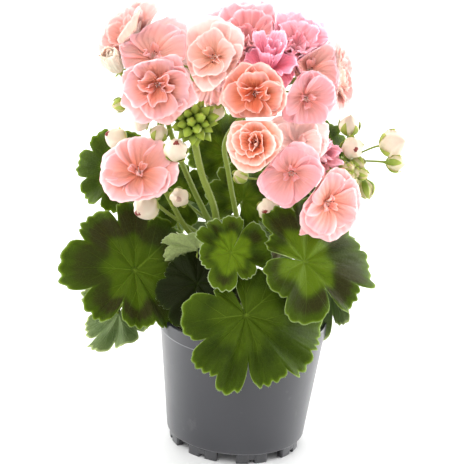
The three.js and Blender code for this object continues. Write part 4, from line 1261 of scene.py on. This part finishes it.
class GeraniumBloomSettings(bpy.types.PropertyGroup):
    """Sizes and colours of the blooms and buds."""

    petal_thickness: length_of("Petal thickness", "Thickness of a petal", 0.55)
    bud: colour_of("Bud", "Folded cream petals of a bud", 0.82, 0.75, 0.58)
    bud_base: colour_of("Bud base", "Greenish base of a bud", 0.5, 0.55, 0.2)
    bud_blush: colour_of("Bud blush", "Pink blush of a bud", 0.84, 0.6, 0.48)
    bud_mouth: colour_of("Bud mouth", "Red-brown blot where a bud opens", 0.22, 0.018, 0.01)
    sepal: colour_of("Sepal", "Green of a sepal at its base", 0.24, 0.33, 0.04)
    sepal_tip: colour_of("Sepal tip", "Green of a sepal at its tip", 0.5, 0.55, 0.12)
    head_green: colour_of("Green head", "Unopened green buds, at their base", 0.06, 0.1, 0.004)
    head_tip: colour_of("Green head tips", "Unopened green buds, at their tips", 0.42, 0.54, 0.06)
    filament: colour_of("Filaments", "Pale filaments in a bloom's throat", 0.88, 0.72, 0.66)
    anther: colour_of("Anthers", "Dark red anthers", 0.2, 0.03, 0.02)


class GeraniumStageSettings(bpy.types.PropertyGroup):
    """The studio: camera, lights and floor."""

    camera_distance: length_of("Camera distance", "From the camera to the point it aims at", 1600)
    camera_tilt: angle_of("Camera tilt", "How far the camera looks down", 19.25)
    camera_roll: angle_of("Camera roll", "How far the picture is turned", 4.2)
    camera_aim: FloatVectorProperty(name="Camera aim", description="The point in the picture's middle",
                                    default=(-0.0133, 0, 0.1669), subtype="TRANSLATION")
    picture_scale: length_of("Picture scale", "Size of one picture point at the aim", 0.75)
    picture_points: number_of("Picture points", "Width of the picture in points", 464)
    sky: FloatProperty(name="Sky", description="Strength of the white surroundings", default=0.7)
    key_light: power_of("Key light", "Power of the large front light", 16)
    left_light: power_of("Left light", "Power of the light at the left", 24)
    right_light: power_of("Right light", "Power of the light at the right", 32.4)
    back_light: power_of("Back light", "Power of the light on the floor behind", 52)
    floor: colour_of("Floor", "Plain pale floor", 0.94, 0.94, 0.94)


# Operators, one for each piece or group of like pieces

FEET = 8
FIRST_NOTCH = -6
NOTCH_WIDTH, SLIT_WIDTH = 15, 5

# The soil: how far it lies below its box's top at its middle, how much lower at its edge, how far its skin
# tapers in and how far its grains lie below the box's top. Then each kind of grain: its look, how many there
# are and how large they are.
SOIL_SINK, SOIL_FALL, SOIL_TAPER, GRAIN_SINK = 1.6, 1.2, 9.5, 1.4
GRAINS = ((0, 340, 2.2), (1, 60, 1.3))

# Each light: its place and its width, in metres.
LIGHTS = {
    "key_light": ((-0.8, -1.2, 1.5), 1.1),
    "left_light": ((-1.2, 0.45, 0.2), 0.9),
    "right_light": ((1.2, 0.45, 0.2), 0.9),
    "back_light": ((0, 1.9, 1.5), 2.4),
}
FLOOR_HALF = 6.0


class GERANIUM_OT_pot(bpy.types.Operator):
    """Build the nursery pot: a tapered wall with a rim band on a notched foot ring"""

    bl_idname = "geranium.pot"
    bl_label = "Pot"

    def execute(self, context):
        pot = context.scene.geranium_pot
        height, rim, foot = pot.height / MM, pot.rim_radius / MM, pot.foot_height / MM
        top, bottom, wall = pot.top_radius / MM, pot.bottom_radius / MM, pot.wall / MM
        under_band = height - pot.band_height / MM
        profile = rounded([
            (0.01, foot), (bottom - 1.2, foot), (bottom, foot + 1.2), (top, under_band),
            (rim - 0.1, under_band + 0.7), (rim, under_band + 1.6), (rim, height - 0.8),
            (rim - 0.8, height), (rim - wall, height), (top - wall, under_band - 2),
            (bottom - wall, foot + wall), (0.01, foot + wall)], 0.45)
        boss = rounded([(0.01, 0), (9, 0), (9, foot + 0.5), (0.01, foot + 0.5)], 0.5)
        surfaces = Surfaces()
        for section, sides in ((profile, 192), (boss, 64)):
            surfaces.grid(about(section[:, 0], full_turn(sides), section[:, 1]), 0, close=True)
        period = 2 * np.pi / FEET
        notch, slit = (width / (pot.foot_radius / MM) for width in (NOTCH_WIDTH, SLIT_WIDTH))
        leg = (period - notch - slit) / 2
        for k in range(FEET):
            middle = np.radians(FIRST_NOTCH) + (k + 0.5) * period
            add_foot(surfaces, pot, middle - (leg + slit) / 2, leg, 0)
            add_foot(surfaces, pot, middle + (leg + slit) / 2, leg, 0)
            add_foot(surfaces, pot, middle, slit * 1.1, 3)
        surfaces.piece("nursery_pot", [pot_material(pot)], "pot", "pot")
        return {"FINISHED"}


class GERANIUM_OT_soil(bpy.types.Operator):
    """Build the potting soil with its crumbs and pale grains"""

    bl_idname = "geranium.soil"
    bl_label = "Soil"

    def execute(self, context):
        rng = np.random.default_rng(7)
        low, high = (np.array(corner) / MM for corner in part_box("soil"))
        edge = high[0] * 0.995
        sides, rows, skin_rows = 150, 50, 12
        share, angle = row(0, 1, rows), full_turn(sides)
        x, y, _ = np.moveaxis(about(edge * share, angle, 0), -1, 0)
        lumps = 0.7 * np.sin(0.31 * x + 2) * np.sin(0.27 * y) + 0.4 * np.sin(0.8 * x - 0.5 * y)
        crumbs = rng.normal(0, 0.25, (sides, rows)) * share
        z = high[2] - SOIL_SINK - SOIL_FALL * share**2 + lumps * (1 - share**8) + crumbs
        surfaces = Surfaces()
        surfaces.grid(stacked(x, y, z), 0, close=True, pole=True, flip=True)
        wall = np.linspace(z[:, -1], np.full(sides, low[2]), skin_rows, axis=1)
        surfaces.grid(about(row(edge, edge - SOIL_TAPER, skin_rows), angle, wall), 0, close=True, flip=True)
        surfaces.grid(about((edge - SOIL_TAPER) * share, angle, low[2]), 0, close=True, pole=True)
        for look, count, large in GRAINS:
            where = edge * 0.95 * np.sqrt(rng.uniform(0.02, 1, count))
            turn = rng.uniform(0, 2 * np.pi, count)
            size = large * rng.uniform(0.35, 1, count)
            middles = about(where, turn, high[2] - GRAIN_SINK - SOIL_FALL * (where / edge) ** 2)
            for middle, radius in zip(middles, size):
                rough = ball(5, 6) * radius * rng.uniform(0.75, 1.15, (6, 1, 1)) * (1, 1, 0.7)
                surfaces.grid(middle + rough, look, close=True)
        grain = plain_material("pale_grain", (0.5, 0.48, 0.42), (0.66, 0.64, 0.58), 500, 0.8)
        surfaces.piece("potting_soil", [soil_material(context.scene.geranium_pot), grain], "soil", "soil")
        return {"FINISHED"}


class GERANIUM_OT_stems(bpy.types.Operator):
    """Build the old stems: a trunk that splits into branches"""

    bl_idname = "geranium.stems"
    bl_label = "Stems"

    def execute(self, context):
        look = context.scene.geranium_leaf
        rng = np.random.default_rng(11)
        surfaces = Surfaces()
        for name in BRANCHES:
            add_branch(surfaces, name, rng)
        bark = plain_material("stem_bark", look.bark, look.bark_dark, 140, 0.8, 0.0006)
        surfaces.piece("old_stems", [bark], "stems", "stem")
        return {"FINISHED"}


class GERANIUM_OT_leaves(bpy.types.Operator):
    """Build the leaves, each a lobed and toothed blade on its stalk, with down on its edge"""

    bl_idname = "geranium.leaves"
    bl_label = "Leaves"

    def execute(self, context):
        look = context.scene.geranium_leaf
        # The second blade material is darkened with painted shade, for the leaf over the pot's edge.
        blades = [leaf_material(look), leaf_material(look, "old_leaf_blade", 0.88)]
        others = [stalk_material(look, "leaf_stalk"), hair_material()]
        rng = np.random.default_rng(21)
        for name, own in LEAVES.items():
            leaf = {**USUAL_LEAF, **own}
            surfaces = Surfaces()
            add_leaf(surfaces, leaf, look, rng)
            surfaces.piece("fine_" + name, [blades["shaded" in leaf], *others], name, "leaf")
        return {"FINISHED"}


class GERANIUM_OT_flower_stalks(bpy.types.Operator):
    """Build the flower heads' stalks with their bracts, buds and the tight green head"""

    bl_idname = "geranium.flower_stalks"
    bl_label = "Flower stalks and buds"

    def execute(self, context):
        leaf, bloom = context.scene.geranium_leaf, context.scene.geranium_bloom
        looks = [
            stalk_material(leaf, "flower_stalk"),
            bud_material(bloom),
            sepal_material("sepal", bloom.sepal, bloom.sepal_tip, leaf.stalk_shade),
            sepal_material("green_bud", bloom.head_green, bloom.head_tip, leaf.stalk_shade),
            hair_material(),
        ]
        rng = np.random.default_rng(31)
        for letter in HEADS:
            surfaces = Surfaces()
            add_head_stalks(surfaces, letter, rng, leaf.stalk_hairs)
            surfaces.piece("fine_stalks_" + letter, looks, "stalks_" + letter, "stalk")
        return {"FINISHED"}


class GERANIUM_OT_blooms(bpy.types.Operator):
    """Build the double blooms, petal by petal"""

    bl_idname = "geranium.blooms"
    bl_label = "Blooms"

    def execute(self, context):
        leaf, bloom = context.scene.geranium_leaf, context.scene.geranium_bloom
        petals = {name: petal_material(name, tint) for name, tint in TINTS.items()}
        others = [
            plain_material("filament", bloom.filament, bloom.filament, 300, 0.5),
            plain_material("anther", bloom.anther, bloom.anther, 300, 0.6),
            sepal_material("bloom_sepal", bloom.sepal, bloom.sepal_tip, leaf.stalk_shade),
        ]
        for number, (name, one) in enumerate(BLOOMS.items()):
            surfaces = Surfaces()
            add_bloom(surfaces, one, number, bloom)
            surfaces.piece("fine_" + name, [petals[one["tint"]], *others], name, "petal")
        return {"FINISHED"}


class GERANIUM_OT_stage(bpy.types.Operator):
    """Build the plain floor, the soft studio lights and the camera"""

    bl_idname = "geranium.stage"
    bl_label = "Stage"

    def execute(self, context):
        stage, scene = context.scene.geranium_stage, context.scene
        mesh = bpy.data.meshes.new("floor")
        corners = [(x * FLOOR_HALF, y * FLOOR_HALF, 0) for x, y in ((-1, -1), (1, -1), (1, 1), (-1, 1))]
        mesh.from_pydata(corners, [], [(0, 1, 2, 3)])
        mesh.materials.append(plain_material("pale_floor", stage.floor, stage.floor, 2, 0.7))
        floor = bpy.data.objects.new("floor", mesh)
        scene.collection.objects.link(floor)

        world = bpy.data.worlds.new("white_room")
        world.use_nodes = True
        background = world.node_tree.nodes["Background"]
        background.inputs[0].default_value = (1, 1, 1, 1)
        background.inputs[1].default_value = stage.sky
        scene.world = world
        scene.view_settings.view_transform = "Standard"

        aim = np.array(stage.camera_aim)
        for name, (place, size) in LIGHTS.items():
            data = bpy.data.lights.new(name, "AREA")
            data.shape = "SQUARE"
            data.size = size
            data.energy = getattr(stage, name)
            light = bpy.data.objects.new(name, data)
            light.matrix_world = looking(np.array(place), aim - np.array(place), 0)
            scene.collection.objects.link(light)

        look = np.array([0, np.cos(stage.camera_tilt), -np.sin(stage.camera_tilt)])
        data = bpy.data.cameras.new("camera")
        data.sensor_width = 36
        points_away = stage.camera_distance / stage.picture_scale
        data.lens = data.sensor_width * points_away / stage.picture_points
        camera = bpy.data.objects.new("camera", data)
        camera.matrix_world = looking(aim - look * stage.camera_distance, look, stage.camera_roll)
        scene.collection.objects.link(camera)
        scene.camera = camera
        return {"FINISHED"}


def looking(place, way, roll):
    """The matrix of a camera or light at a place, facing along way, its picture's right side raised by the
    roll."""
    way = unit(way)
    right = unit(np.cross(way, [0, 0, 1]))
    up = np.cross(right, way)
    rolled_right = right * np.cos(roll) + up * np.sin(roll)
    rolled_up = up * np.cos(roll) - right * np.sin(roll)
    rows = np.stack([rolled_right, rolled_up, -way, place], 1)
    return Matrix([*rows.tolist(), [0, 0, 0, 1]])


class GERANIUM_PT_panel(bpy.types.Panel):
    """Lists the geranium's pieces and their settings"""

    bl_idname = "GERANIUM_PT_panel"
    bl_label = "Geranium"
    bl_space_type = "VIEW_3D"
    bl_region_type = "UI"
    bl_category = "Geranium"

    def draw(self, context):
        for operator in OPERATORS:
            self.layout.operator(operator.bl_idname)
        for name in SETTINGS:
            box = self.layout.box()
            settings = getattr(context.scene, name)
            for key in settings.bl_rna.properties.keys():
                if key not in ("rna_type", "name"):
                    box.prop(settings, key)


OPERATORS = (
    GERANIUM_OT_stage,
    GERANIUM_OT_pot,
    GERANIUM_OT_soil,
    GERANIUM_OT_stems,
    GERANIUM_OT_leaves,
    GERANIUM_OT_flower_stalks,
    GERANIUM_OT_blooms,
)
SETTINGS = {
    "geranium_pot": GeraniumPotSettings,
    "geranium_leaf": GeraniumLeafSettings,
    "geranium_bloom": GeraniumBloomSettings,
    "geranium_stage": GeraniumStageSettings,
}


def register():
    """Registers the classes and gives the scene its settings."""
    for group in (*SETTINGS.values(), *OPERATORS, GERANIUM_PT_panel):
        bpy.utils.register_class(group)
    for name, group in SETTINGS.items():
        setattr(bpy.types.Scene, name, PointerProperty(type=group))


def unregister():
    """Takes the settings and classes away again."""
    for name in SETTINGS:
        delattr(bpy.types.Scene, name)
    for group in (GERANIUM_PT_panel, *OPERATORS[::-1], *tuple(SETTINGS.values())[::-1]):
        bpy.utils.unregister_class(group)


def main():
    """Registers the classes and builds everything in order."""
    register()
    bpy.ops.geranium.stage()
    bpy.ops.geranium.pot()
    bpy.ops.geranium.soil()
    bpy.ops.geranium.stems()
    bpy.ops.geranium.leaves()
    bpy.ops.geranium.flower_stalks()
    bpy.ops.geranium.blooms()


if __name__ == "__main__":
    main()
